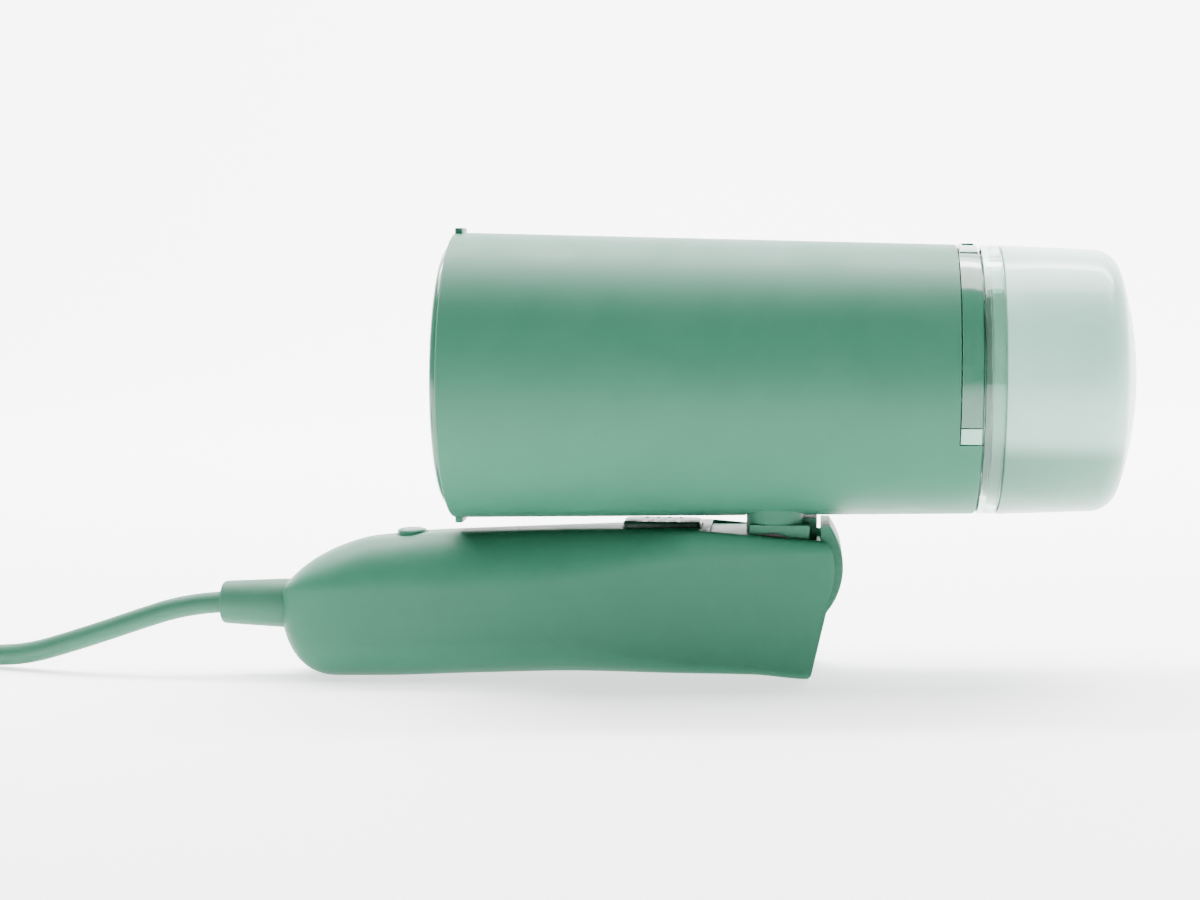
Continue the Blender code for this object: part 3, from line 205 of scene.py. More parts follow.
bodyGreen = (0.037, 0.165, 0.103)
# the paler sharp edges that several finishes ask for are a painted highlight
finishes = {
    "satin_green": makeFinish(
        "satinGreen", bodyGreen, 0.45, tint=0.03, grain=2600, grainDepth=0.012, edgeHighlight=0.25, specular=0.18
    ),
    "gloss_green": makeFinish(
        "glossGreen", (0.038, 0.162, 0.102), 0.15, tint=0.02, grainDepth=0.002, coat=0.45, edgeHighlight=0.2
    ),
    "pale_green": makeFinish("palePad", (0.36, 0.62, 0.48), 0.35, tint=0.03, grainDepth=0.004, subsurface=0.2),
    # the trigger's dark green is partly its own colour and partly painted shade from the barrel above it
    "dark_green": makeFinish(
        "triggerGreenPaintedShade", (0.008, 0.040, 0.024), 0.38, tint=0.08, grain=2200, grainDepth=0.02, edgeHighlight=0.3
    ),
    "clear_tank": makeFinish(
        "clearCollar", (0.62, 0.86, 0.76), 0.05, tint=0.02, grainDepth=0.001, transmission=0.93, coat=0.4,
        ior=1.42,
    ),
    # the bottle is darker below a level across it: painted shade, standing in for the water inside as well
    "frosted_tank": makeFinish(
        "frostedBottle", (0.58, 0.90, 0.78), 0.42, tint=0.05, mottle=45, grain=1500, grainDepth=0.008,
        transmission=0.45, coat=0.5, coatRoughness=0.12, ior=1.46, specular=0.35,
        low=(0.16, 0.40, 0.29), paintedShadeLevel=33 * mm, paintedShadeBlend=3.5 * mm,
    ),
    "steel": makeFinish(
        "brushedSteel", (0.60, 0.61, 0.62), 0.28, grain=900, grainDepth=0.01, metallic=1.0, stretch=(1, 12, 1)
    ),
    "cast_aluminium": makeFinish(
        "castAluminium", (0.66, 0.67, 0.68), 0.48, grain=700, grainDepth=0.05, metallic=1.0
    ),
    "copper_winding": makeFinish(
        "lacqueredCopper", (0.62, 0.27, 0.12), 0.34, grain=600, grainDepth=0.05, metallic=0.9,
        stretch=(14, 1, 1),
    ),
    "silicone": makeFinish(
        "softSilicone", (0.74, 0.77, 0.74), 0.62, tint=0.05, grain=900, grainDepth=0.02, subsurface=0.1
    ),
    "white_plastic": makeFinish("nylonWhite", (0.70, 0.74, 0.71), 0.46, tint=0.03, grain=1500, grainDepth=0.01),
    "black_plastic": makeFinish(
        "blackPlastic", (0.022, 0.023, 0.023), 0.45, tint=0.1, grain=1700, grainDepth=0.02, edgeHighlight=0.2
    ),
    "board": makeFinish("circuitBoard", (0.015, 0.14, 0.05), 0.36, tint=0.12, mottle=300, grainDepth=0.02),
    "green_rubber": makeFinish(
        "greenRubber", (0.036, 0.138, 0.086), 0.55, tint=0.05, grain=1200, grainDepth=0.02, edgeHighlight=0.15,
        specular=0.25,
    ),
    "brass": makeFinish(
        "platedBrass", (0.70, 0.60, 0.38), 0.22, tint=0.06, grain=900, grainDepth=0.004, metallic=1.0
    ),
}
for node, part in frame["nodes"].items():
    slot = next(row["material_slot"] for row in frame["record"]["subparts"] if row["node"] == node)
    part.material_slots[0].material = finishes[slot]
for node in ("tank_spigot", "tank_end_plate"):  # these show through the clear collar
    frame["nodes"][node].material_slots[0].material = finishes["satin_green"]
print("finishes made")


# Helpers for meshes. Each shape is made in rowPoint's coordinates, and settle moves it into place.

def rough(name, form):
    mesh = bpy.data.meshes.new(name)
    bmesh.ops.remove_doubles(form, verts=form.verts, dist=1e-7)
    bmesh.ops.recalc_face_normals(form, faces=form.faces)
    form.to_mesh(mesh)
    form.free()
    piece = bpy.data.objects.new(name, mesh)
    bpy.context.scene.collection.objects.link(piece)
    return piece


def bake(piece):
    graph = bpy.context.evaluated_depsgraph_get()
    mesh = bpy.data.meshes.new_from_object(piece.evaluated_get(graph))
    piece.modifiers.clear()
    old = piece.data
    piece.data = mesh
    bpy.data.meshes.remove(old)


def carve(piece, form, operation="DIFFERENCE"):
    cutter = form if isinstance(form, bpy.types.Object) else rough("cutter", form)
    step = piece.modifiers.new("step", "BOOLEAN")
    step.operation, step.solver, step.object = operation, "EXACT", cutter
    bake(piece)
    bpy.data.objects.remove(cutter)


def soften(piece, width, segments=3, angle=30):
    step = piece.modifiers.new("edges", "BEVEL")
    step.width = width
    step.segments = segments
    step.limit_method = "ANGLE"
    step.angle_limit = math.radians(angle)
    bake(piece)


def settle(piece, body, slot, *nodes, sharp=32, look=None):
    mesh = piece.data
    mesh.transform(rowToWorld)
    for face in mesh.polygons:
        face.use_smooth = True
    mesh.set_sharp_from_angle(angle=math.radians(sharp))
    mesh.materials.clear()
    mesh.materials.append(look or finishes[slot])
    mesh.update()
    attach(piece, body)
    if nodes:
        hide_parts(*nodes)
    return piece


def turned(profile, sides, axis="U", at=(0, 0, 0)):
    form = bmesh.new()
    corners = [form.verts.new((station, 0, radius)) for station, radius in profile]
    edges = [form.edges.new(pair) for pair in zip(corners, corners[1:] + corners[:1])]
    bmesh.ops.spin(
        form, geom=corners + edges, cent=(0, 0, 0), axis=(1, 0, 0), angle=math.tau, steps=sides, use_merge=True
    )
    bmesh.ops.remove_doubles(form, verts=form.verts, dist=1e-7)
    if axis == "W":
        form.transform(Matrix.Rotation(-math.pi / 2, 4, "Y"))
    if axis == "Y":
        form.transform(Matrix.Rotation(math.pi / 2, 4, "Z"))
    form.transform(Matrix.Translation(at))
    bmesh.ops.recalc_face_normals(form, faces=form.faces)
    return form


def rod(start, end, radius, sides=48, axis="U", at=(0, 0, 0)):
    return turned([(start, 0), (end, 0), (end, radius), (start, radius)], sides, axis, at)


def tube(start, end, inner, outer, sides=96, axis="U", at=(0, 0, 0)):
    return turned([(start, inner), (end, inner), (end, outer), (start, outer)], sides, axis, at)


def block(low, high):
    form = bmesh.new()
    bmesh.ops.create_cube(form, size=1)
    size = [b - a for a, b in zip(low, high)]
    middle = [(a + b) / 2 for a, b in zip(low, high)]
    bmesh.ops.scale(form, vec=size, verts=form.verts)
    bmesh.ops.translate(form, vec=middle, verts=form.verts)
    return form


def roundOutline(left, right, low, high, radius, steps=8):
    outline = []
    for a, b, quarter in (
        (right - radius, high - radius, 0),
        (left + radius, high - radius, 1),
        (left + radius, low + radius, 2),
        (right - radius, low + radius, 3),
    ):
        for step in range(steps + 1):
            angle = math.pi / 2 * (quarter + step / steps)
            outline.append((a + radius * math.cos(angle), b + radius * math.sin(angle)))
    return outline


def upright(outline, low, high):
    form = bmesh.new()
    bottom = [form.verts.new((u, y, low)) for u, y in outline]
    top = [form.verts.new((u, y, high)) for u, y in outline]
    form.faces.new(bottom)
    form.faces.new(top)
    for i in range(len(outline)):
        j = (i + 1) % len(outline)
        form.faces.new((bottom[i], bottom[j], top[j], top[i]))
    return form


def lofted(rings, capped=True):
    form = bmesh.new()
    loops = [[form.verts.new(point) for point in ring] for ring in rings]
    count = len(loops[0])
    for near, far in zip(loops, loops[1:]):
        for i in range(count):
            j = (i + 1) % count
            form.faces.new((near[i], near[j], far[j], far[i]))
    if capped:
        form.faces.new(loops[0])
        form.faces.new(loops[-1])
    return form


def smoothBetween(rows, station):
    count = len(rows)
    if station <= rows[0][0]:
        return rows[0][1]
    if station >= rows[-1][0]:
        return rows[-1][1]
    i = next(k for k in range(count - 1) if station <= rows[k + 1][0])

    def slope(k):
        if k == 0 or k == count - 1:
            a, b = (0, 1) if k == 0 else (count - 2, count - 1)
            return (rows[b][1] - rows[a][1]) / (rows[b][0] - rows[a][0])
        before = (rows[k][1] - rows[k - 1][1]) / (rows[k][0] - rows[k - 1][0])
        after = (rows[k + 1][1] - rows[k][1]) / (rows[k + 1][0] - rows[k][0])
        return 0.0 if before * after <= 0 else 2 * before * after / (before + after)

    (left, low), (right, high) = rows[i], rows[i + 1]
    span = right - left
    t = (station - left) / span
    return (
        (2 * t**3 - 3 * t**2 + 1) * low
        + (t**3 - 2 * t**2 + t) * span * slope(i)
        + (3 * t**2 - 2 * t**3) * high
        + (t**3 - t**2) * span * slope(i + 1)
    )


# Node trees for what repeats

def startTree(name, sockets):
    tree = bpy.data.node_groups.new(name, "GeometryNodeTree")
    tree.interface.new_socket("Geometry", in_out="OUTPUT", socket_type="NodeSocketGeometry")
    for label, kind in sockets:
        tree.interface.new_socket(label, in_out="INPUT", socket_type="NodeSocket" + kind)
    source = tree.nodes.new("NodeGroupInput")

    def make(kind, inputs=None, **settings):
        node = tree.nodes.new(kind)
        for key, value in settings.items():
            setattr(node, key, value)
        for key, value in (inputs or {}).items():
            if isinstance(value, bpy.types.NodeSocket):
                tree.links.new(value, node.inputs[key])
            else:
                node.inputs[key].default_value = value
        return node

    def end(geometry):
        real = make("GeometryNodeRealizeInstances", {0: geometry})
        dressed = make(
            "GeometryNodeSetMaterial", {"Geometry": real.outputs[0], "Material": source.outputs["Finish"]}
        )
        sink = tree.nodes.new("NodeGroupOutput")
        tree.links.new(dressed.outputs[0], sink.inputs[0])

    return tree, source.outputs, make, end


def grow(name, tree, values, base=None):
    mesh = bpy.data.meshes.new(name)
    if base:
        mesh.from_pydata(base, [], [])
    piece = bpy.data.objects.new(name, mesh)
    bpy.context.scene.collection.objects.link(piece)
    step = piece.modifiers.new("rule", "NODES")
    step.node_group = tree
    for item in tree.interface.items_tree:
        if item.in_out == "INPUT" and item.name in values:
            step[item.identifier] = values[item.name]
    bake(piece)
    return piece


def ringTree():
    tree, given, make, end = startTree(
        "ringOfRods",
        (("Count", "Int"), ("Ring Radius", "Float"), ("Rod Radius", "Float"), ("Rod Length", "Float"),
         ("Finish", "Material")),
    )
    circle = make("GeometryNodeMeshCircle", {"Vertices": given["Count"], "Radius": given["Ring Radius"]})
    one = make(
        "GeometryNodeMeshCylinder",
        {"Vertices": 24, "Radius": given["Rod Radius"], "Depth": given["Rod Length"]},
    )
    many = make("GeometryNodeInstanceOnPoints", {"Points": circle.outputs[0], "Instance": one.outputs[0]})
    end(many.outputs[0])
    return tree


def rowTree():
    tree, given, make, end = startTree(
        "rowOfRibs",
        (("Count", "Int"), ("Start", "Vector"), ("Step", "Vector"), ("Rib Size", "Vector"),
         ("Finish", "Material")),
    )
    line = make(
        "GeometryNodeMeshLine",
        {"Count": given["Count"], "Start Location": given["Start"], "Offset": given["Step"]},
    )
    one = make("GeometryNodeMeshCube", {"Size": given["Rib Size"]})
    many = make("GeometryNodeInstanceOnPoints", {"Points": line.outputs[0], "Instance": one.outputs[0]})
    end(many.outputs[0])
    return tree


def scatterTree():
    tree, given, make, end = startTree(
        "oneAtEachPoint", (("Geometry", "Geometry"), ("Piece", "Object"), ("Finish", "Material"))
    )
    one = make("GeometryNodeObjectInfo", {"Object": given["Piece"]})
    many = make(
        "GeometryNodeInstanceOnPoints", {"Points": given["Geometry"], "Instance": one.outputs["Geometry"]}
    )
    end(many.outputs[0])
    return tree


def taperTree():
    tree, given, make, end = startTree(
        "taperedSkin",
        (("Front", "Vector"), ("Back", "Vector"), ("Front Radius", "Float"), ("Back Radius", "Float"),
         ("Stations", "Int"), ("Sides", "Int"), ("Finish", "Material")),
    )
    line = make("GeometryNodeCurvePrimitiveLine", {"Start": given["Front"], "End": given["Back"]})
    fine = make("GeometryNodeResampleCurve", {"Curve": line.outputs[0], "Count": given["Stations"]})
    share = make("GeometryNodeSplineParameter")
    radius = make(
        "ShaderNodeMapRange",
        {"Value": share.outputs["Factor"], "To Min": given["Front Radius"], "To Max": given["Back Radius"]},
    )
    sized = make("GeometryNodeSetCurveRadius", {"Curve": fine.outputs[0], "Radius": radius.outputs[0]})
    ring = make("GeometryNodeCurvePrimitiveCircle", {"Resolution": given["Sides"], "Radius": 1.0})
    held = make("GeometryNodeInputRadius")
    skin = make(
        "GeometryNodeCurveToMesh",
        {"Curve": sized.outputs[0], "Profile Curve": ring.outputs[0], "Scale": held.outputs[0]},
    )
    end(skin.outputs[0])
    return tree


# Mains cord

cordPlan = dict(
    radius=2.9 * mm, length=1.87, exit=(-149.1 * mm, -13.4 * mm), coilRadius=33.5 * mm, stub=26 * mm,
    run=92 * mm, side=14.5 * mm, pointsPerTurn=24, plugThickness=13.5 * mm, turns=8, slotEvery=320,
    firstShift=-10, ringShift=75, layerShift=52, spacing=7 * mm,
)
# The ring and the layer that each turn of the coil lies in.
slots = ((2, 0), (1, 0), (0, 0), (0, 1), (0, 2), (1, 2), (1, 1), (2, 1), (2, 2))


def ease(t):
    t = min(1.0, max(0.0, t))
    return t * t * (3 - 2 * t)


def smoothRoute(points, spacing):
    knots = [Vector(point) for point in points]
    knots = [2 * knots[0] - knots[1]] + knots + [2 * knots[-1] - knots[-2]]
    fine = []
    for a, b, c, d in zip(knots, knots[1:], knots[2:], knots[3:]):
        for step in range(24):
            t = step / 24
            spread = (2 * a - 5 * b + 4 * c - d) * t * t + (3 * b - a - 3 * c + d) * t**3
            fine.append((2 * b + (c - a) * t + spread) / 2)
    fine.append(knots[-2])
    total = sum((far - near).length for near, far in zip(fine, fine[1:]))
    count = max(2, round(total / spacing))
    route, walked = [fine[0]], 0
    for near, far in zip(fine, fine[1:]):
        walked += (far - near).length
        if walked >= total * len(route) / count - 1e-9 and len(route) < count:
            route.append(far)
    return route + [fine[-1]]


def cordRoute(plan):
    x, y, z = rowPoint(plan["exit"][0], 0, plan["exit"][1])
    radius = plan["radius"]
    floor, pitch = radius, 2 * radius
    drop = z - floor
    way = [
        (x, y, z),
        (x - 8 * mm, y, z - 0.05 * drop),
        (x - 17 * mm, y, z - 0.17 * drop),
        (x - 39.5 * mm, y + 1.5 * mm, z - 0.61 * drop),
        (x - 56 * mm, y + 6 * mm, z - 0.90 * drop),
        (x - 70 * mm, y + 11 * mm, floor + 0.1 * mm),
        (x - 84 * mm, y + 14 * mm, floor),
        (x - plan["run"], y + plan["side"], floor),
    ]
    outer = plan["coilRadius"] + pitch
    endX, endY = way[-1][0], way[-1][1]
    middleX, middleY = endX - gap - plan["stub"], endY - outer
    points = smoothRoute(way, plan["spacing"])
    points += [Vector((middleX + plan["stub"] * share, endY, floor)) for share in (0.75, 0.5, 0.25)]
    step = 360 / plan["pointsPerTurn"]
    changes = [plan["slotEvery"] * k + plan["firstShift"] for k in range(1, len(slots))]
    for i in range(plan["turns"] * plan["pointsPerTurn"] + 1):
        angle = i * step
        ring, layer = slots[0]
        for change, (nextRing, nextLayer), (lastRing, lastLayer) in zip(changes, slots[1:], slots):
            half = plan["ringShift"] if nextRing != lastRing else plan["layerShift"]
            share = ease((angle - change + half) / (2 * half))
            ring += (nextRing - lastRing) * share
            layer += (nextLayer - lastLayer) * share
        reach = plan["coilRadius"] + (ring - 1) * pitch
        turn = math.radians(90 + angle)
        points.append(
            Vector((middleX + reach * math.cos(turn), middleY + reach * math.sin(turn), floor + layer * pitch))
        )
    top = floor + 2 * pitch
    low = plan["plugThickness"] / 2
    startX = middleX - plan["stub"] - gap
    points += [Vector((middleX - plan["stub"] * share, endY, top)) for share in (0.3, 0.65)]
    lead = [
        (startX, endY, top),
        (startX - 6 * mm, endY, top - 0.5 * mm),
        (startX - 17 * mm, endY, (top + low) / 2),
        (startX - 28 * mm, endY, low + 0.5 * mm),
        (startX - 34.6 * mm, endY, low),
    ]
    points += smoothRoute(lead, plan["spacing"])
    return points, lead[-1]


def makeCord(plan):
    points, meeting = cordRoute(plan)
    curve = bpy.data.curves.new("mainsCord", "CURVE")
    curve.dimensions = "3D"
    curve.bevel_depth = plan["radius"]
    curve.bevel_resolution = 5
    curve.resolution_u = 5
    curve.use_fill_caps = True
    line = curve.splines.new("BEZIER")
    line.bezier_points.add(len(points) - 1)
    for knot, point in zip(line.bezier_points, points):
        knot.co = point
        knot.handle_left_type = knot.handle_right_type = "AUTO"
    curve.materials.append(finishes["green_rubber"])
    cord = bpy.data.objects.new("mainsCord", curve)
    bpy.context.scene.collection.objects.link(cord)
    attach(cord, "handle")
    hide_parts("power_cord", "cord_coil", "plug_lead")
    length = sum((b - a).length for a, b in zip(points, points[1:]))
    return cord, points, length, meeting


# Each row is how far past the cord's end, half the width and half the thickness there, in mm.
plug = dict(
    corner=0.75,
    rows=(
        (0, 3.3, 3.3), (0.8, 4.5, 4.5), (3, 4.5, 4.5), (3.4, 4, 4), (4.6, 4, 4), (5, 4.8, 4.7),
        (9, 5.3, 5.1), (12, 7.6, 5.6), (15, 10.6, 6.15), (19, 12.2, 6.55), (24, 13, 6.75), (31, 12.9, 6.7),
        (36.6, 12.2, 6.45), (37.6, 11.8, 6.1), (38, 11, 5.4),
    ),
)


def makePlug(plan, meeting):
    rings = []
    for reach, wide, tall in plan["rows"]:
        outline = roundOutline(-wide * mm, wide * mm, -tall * mm, tall * mm, tall * mm * plan["corner"], 8)
        x = meeting[0] - gap - reach * mm
        rings.append([(x, meeting[1] + across, meeting[2] + rise) for across, rise in outline])
    body = rough("plugBody", lofted(rings))
    body.data.transform(rowToWorld.inverted())
    return settle(body, "handle", "black_plastic", "plug_body", sharp=40)


cord, cordPoints, cordLength, plugMeeting = makeCord(cordPlan)
plugBody = makePlug(plug, plugMeeting)
print("cord laid,", round(cordLength, 3), "m")


# Barrel

barrel = dict(
    front=-85 * mm, back=52.5 * mm, frontRadius=38 * mm, backRadius=35.2 * mm, wall=2.2 * mm, axis=48.8 * mm,
    bandFront=47 * mm, bandInner=31.2 * mm, padTall=4 * mm, bandAngle=25, sides=160, stations=24,
    lipBevel=0.7 * mm, ribInset=0.4 * mm, ribLong=2 * mm, ribHalf=4.5 * mm, ribTall=1.2 * mm, ribRoot=1.5 * mm,
    doorLevel=26 * mm,
)
axisAt = (0, 0, barrel["axis"])
neck = dict(left=-6.9 * mm, right=7.9 * mm, half=12.4 * mm, corner=6 * mm)


def barrelRadius(station):
    share = (station - barrel["front"]) / (barrel["back"] - barrel["front"])
    return barrel["frontRadius"] + (barrel["backRadius"] - barrel["frontRadius"]) * share


bandLevel = barrel["axis"] - barrel["backRadius"] * math.sin(math.radians(barrel["bandAngle"]))


def neckOutline(more):
    half = neck["half"] + more
    return roundOutline(neck["left"] - more, neck["right"] + more, -half, half, neck["corner"] + more, 10)


def makeBarrelSkin():
    skin = grow(
        "barrelSkin",
        taperTree(),
        {
            "Front": (barrel["front"], 0.0, barrel["axis"]),
            "Back": (barrel["back"], 0.0, barrel["axis"]),
            "Front Radius": barrel["frontRadius"],
            "Back Radius": barrel["backRadius"],
            "Stations": barrel["stations"],
            "Sides": barrel["sides"],
            "Finish": finishes["satin_green"],
        },
    )
    form = bmesh.new()
    form.from_mesh(skin.data)
    bmesh.ops.remove_doubles(form, verts=form.verts, dist=1e-7)
    outward = 0
    for face in form.faces:
        middle = face.calc_center_median()
        outward += face.normal.dot(middle - Vector((middle.x, 0, barrel["axis"])))
    if outward < 0:
        bmesh.ops.reverse_faces(form, faces=form.faces)
    form.to_mesh(skin.data)
    form.free()
    wall = skin.modifiers.new("wall", "SOLIDIFY")
    wall.thickness = barrel["wall"]
    wall.offset = -1
    bake(skin)
    soften(skin, barrel["lipBevel"], 4, 50)
    reach = barrel["frontRadius"] + 1 * mm
    for side in (-1, 1):
        root, top = barrel["frontRadius"] - barrel["ribRoot"], barrel["frontRadius"] + barrel["ribTall"]
        low, high = sorted((side * root, side * top))
        start = barrel["front"] + barrel["ribInset"]
        corners = (start, -barrel["ribHalf"], low), (start + barrel["ribLong"], barrel["ribHalf"], high)
        rib = rough("rib", block(*corners))
        soften(rib, 0.35 * mm, 3)
        rib.data.transform(Matrix.Translation(axisAt))
        carve(skin, rib, "UNION")
    top = barrel["axis"] + reach
    carve(skin, block((barrel["bandFront"] - gap, -reach, bandLevel), (barrel["back"] + gap, reach, top)))
    door = barrel["axis"] - barrel["doorLevel"]
    carve(skin, upright(neckOutline(gap), door - reach, door))
    return settle(skin, "barrel", "satin_green", "barrel_shell", sharp=28)


makeBarrelSkin()

frontRing = dict(outer=35.2 * mm, inner=31.2 * mm, proud=2.1 * mm, depth=8 * mm, steps=18)


def makeFrontRing(plan):
    nose = barrel["front"] - plan["proud"]
    tail = barrel["front"] + plan["depth"]
    middle = (plan["outer"] + plan["inner"]) / 2
    half = (plan["outer"] - plan["inner"]) / 2
    profile = [(tail, plan["inner"]), (tail, plan["outer"])]
    for step in range(plan["steps"] + 1):
        angle = math.pi * step / plan["steps"]
        profile.append((nose + half * (1 - math.sin(angle)), middle + half * math.cos(angle)))
    piece = rough("frontRing", turned(profile, barrel["sides"], at=axisAt))
    return settle(piece, "barrel", "gloss_green", "front_ring")


makeFrontRing(frontRing)

band = dict(
    buttonAngle=20, proud=0.3 * mm, plate=1.1 * mm, travel=1.3 * mm, stem=(2.2 * mm, 8 * mm, 32.3 * mm),
    sides=192, buttonSides=256, bevel=0.25 * mm, padBevel=0.3 * mm,
)


def makeBand(plan):
    front, back = barrel["bandFront"], barrel["back"] - gap
    profile = [
        (front, barrel["bandInner"]),
        (back, barrel["bandInner"]),
        (back, barrelRadius(back)),
        (front, barrelRadius(front)),
    ]
    reach = barrel["frontRadius"] + 1 * mm
    level = bandLevel + gap
    top = level + barrel["padTall"]
    piece = rough("latchBand", turned(profile, plan["sides"], at=axisAt))
    carve(piece, block((front - gap, -reach, barrel["axis"] - reach), (barrel["back"], reach, top + gap)))
    half = barrel["backRadius"] * math.sin(math.radians(plan["buttonAngle"])) + gap
    floor = barrel["backRadius"] + plan["proud"] - plan["plate"] - plan["travel"] - gap
    pocket = rough("pocket", tube(front - 2 * gap, back + gap, floor, reach, plan["sides"], at=axisAt))
    over = barrel["axis"] + reach + 1 * mm
    carve(pocket, block((0, -half, barrel["axis"]), (barrel["back"] + 1 * mm, half, over)), "INTERSECT")
    carve(piece, pocket)
    long, wide, stemLow = plan["stem"]
    middle = (barrel["bandFront"] + barrel["back"]) / 2
    hole = block(
        (middle - long / 2 - gap, -wide / 2 - gap, barrel["axis"]),
        (middle + long / 2 + gap, wide / 2 + gap, barrel["axis"] + reach),
    )
    carve(piece, hole)
    soften(piece, plan["bevel"], 3, 40)
    settle(piece, "barrel", "gloss_green", "latch_band")
    for name, node, side in (("bandPadNear", "band_pad_left", -1), ("bandPadFar", "band_pad_right", 1)):
        pad = rough(name, turned(profile, plan["sides"], at=axisAt))
        low, high = sorted((side * barrel["bandInner"] * 0.5, side * reach))
        carve(pad, block((front - gap, low, level), (barrel["back"], high, top)), "INTERSECT")
        soften(pad, plan["padBevel"], 3, 40)
        settle(pad, "barrel", "pale_green", node)
    under = floor + plan["travel"] + gap
    plate = tube(
        front + gap, back - gap, under, barrel["backRadius"] + plan["proud"], plan["buttonSides"], at=axisAt
    )
    button = rough("releaseButton", plate)
    width = half - gap
    carve(button, block((front, -width, barrel["axis"]), (back, width, over)), "INTERSECT")
    soften(button, plan["padBevel"], 3, 40)
    stem = block(
        (middle - long / 2, -wide / 2, barrel["axis"] + stemLow),
        (middle + long / 2, wide / 2, barrel["axis"] + under + gap),
    )
    carve(button, stem, "UNION")
    settle(button, "release_button", "gloss_green", "release_button")


makeBand(band)

buttonRibs = dict(count=5, spacing=1.7 * mm, size=(3.0 * mm, 0.5 * mm, 0.3 * mm))


def makeButtonRibs(plan):
    middle = (barrel["bandFront"] + barrel["back"]) / 2
    start = -(plan["count"] - 1) / 2 * plan["spacing"]
    ribs = grow(
        "releaseButtonRibs",
        rowTree(),
        {
            "Count": plan["count"],
            "Start": (middle, start, barrel["axis"] + barrel["backRadius"] + band["proud"]),
            "Step": (0.0, plan["spacing"], 0.0),
            "Rib Size": plan["size"],
            "Finish": finishes["gloss_green"],
        },
    )
    settle(ribs, "release_button", "gloss_green")


makeButtonRibs(buttonRibs)
print("barrel, band and button made")


# Steam head

steamPlate = dict(
    front=-85.9 * mm, thick=2.6 * mm, holeRings=((9 * mm, 6), (19 * mm, 10)), hole=1.2 * mm, drill=12 * mm,
    bevel=0.4 * mm, sides=128,
)


def makeSteamPlate(plan):
    low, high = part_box("steam_plate")
    radius = (high.y - low.y) / 2
    back = plan["front"] + plan["thick"]
    plate = rough("steamPlate", rod(plan["front"], back, radius, plan["sides"], at=axisAt))
    soften(plate, plan["bevel"], 3, 40)
    holes = ringTree()
    for ringRadius, count in plan["holeRings"]:
        cutters = grow(
            "steamHoles",
            holes,
            {
                "Count": count,
                "Ring Radius": ringRadius,
                "Rod Radius": plan["hole"],
                "Rod Length": plan["drill"],
                "Finish": finishes["steel"],
            },
        )
        cutters.data.transform(
            Matrix.Translation((plan["front"], 0, barrel["axis"])) @ Matrix.Rotation(-math.pi / 2, 4, "Y")
        )
        carve(plate, cutters)
    settle(plate, "barrel", "steel", "steam_plate")


makeSteamPlate(steamPlate)
print("steam plate made")


# Tank

tank = dict(
    collar=5 * mm, end=93.5 * mm, endRadius=34.2 * mm, corner=7 * mm, dome=4.5 * mm, wall=2 * mm,
    spigot=30.7 * mm, web=2 * mm, lip=1.4 * mm, edge=0.3 * mm, sides=160,
)


def roundedEnd(apex, radius, corner, dome):
    reach, depth = radius - corner, corner + dome
    ball = (depth**2 + reach**2 - corner**2) / (2 * dome)  # the dome's own radius, tangent to the corner
    meet = math.asin(reach / (ball - corner))
    end = []
    for step in range(15):
        angle = (math.pi / 2 - meet) * step / 14
        end.append((apex - depth + corner * math.sin(angle), reach + corner * math.cos(angle)))
    for step in range(1, 13):
        angle = meet * (1 - step / 12)
        end.append((apex - ball + ball * math.cos(angle), ball * math.sin(angle)))
    return end


def makeTank(plan):
    front = barrel["back"] + gap
    split = front + plan["collar"]
    web = front + plan["web"]
    inner = barrel["backRadius"] - plan["wall"]
    collar = [
        (front, barrel["backRadius"] - 0.5 * mm),
        (front, plan["spigot"] + gap),
        (web, plan["spigot"] + gap),
        (web, inner),
        (split, inner),
        (split, barrel["backRadius"] - 0.25 * mm),
        (split - 0.25 * mm, barrel["backRadius"]),
        (front + 0.5 * mm, barrel["backRadius"]),
        (front + 0.15 * mm, barrel["backRadius"] - 0.15 * mm),
    ]
    piece = rough("tankCollar", turned(collar, plan["sides"], at=axisAt))
    settle(piece, "tank", "clear_tank", "tank_collar")
    lipOuter = inner - gap
    lipInner = lipOuter - plan["lip"]
    start = split + gap
    bottle = [
        (web + gap, lipInner),
        (web + gap, lipOuter),
        (start, lipOuter),
        (start, barrel["backRadius"] - plan["edge"]),
        (start + plan["edge"], barrel["backRadius"]),
    ]
    wall = plan["wall"]
    bottle += roundedEnd(plan["end"], plan["endRadius"], plan["corner"], plan["dome"])
    inside = roundedEnd(plan["end"] - wall, plan["endRadius"] - wall, plan["corner"] - wall, plan["dome"])
    bottle += inside[::-1]
    bottle += [(start + 3 * mm, lipInner)]
    piece = rough("tankBottle", turned(bottle, plan["sides"], at=axisAt))
    settle(piece, "tank", "frosted_tank", "water_tank", sharp=50)


makeTank(tank)
print("tank made")


# Fold hinge

drum = dict(
    radius=18.5 * mm, half=12.7 * mm, flatLeft=8.4 * mm, flatRight=11 * mm, ribRight=11.6 * mm,
    ribHalf=6.6 * mm, pin=2.9 * mm, bevel=0.5 * mm, sides=144, flange=5.2 * mm, neckLow=4 * mm,
    ribLow=3 * mm, slot=(-3.4 * mm, 4.4 * mm, -9 * mm, 9 * mm, 2 * mm), slotLow=6 * mm, slotTop=9 * mm,
)


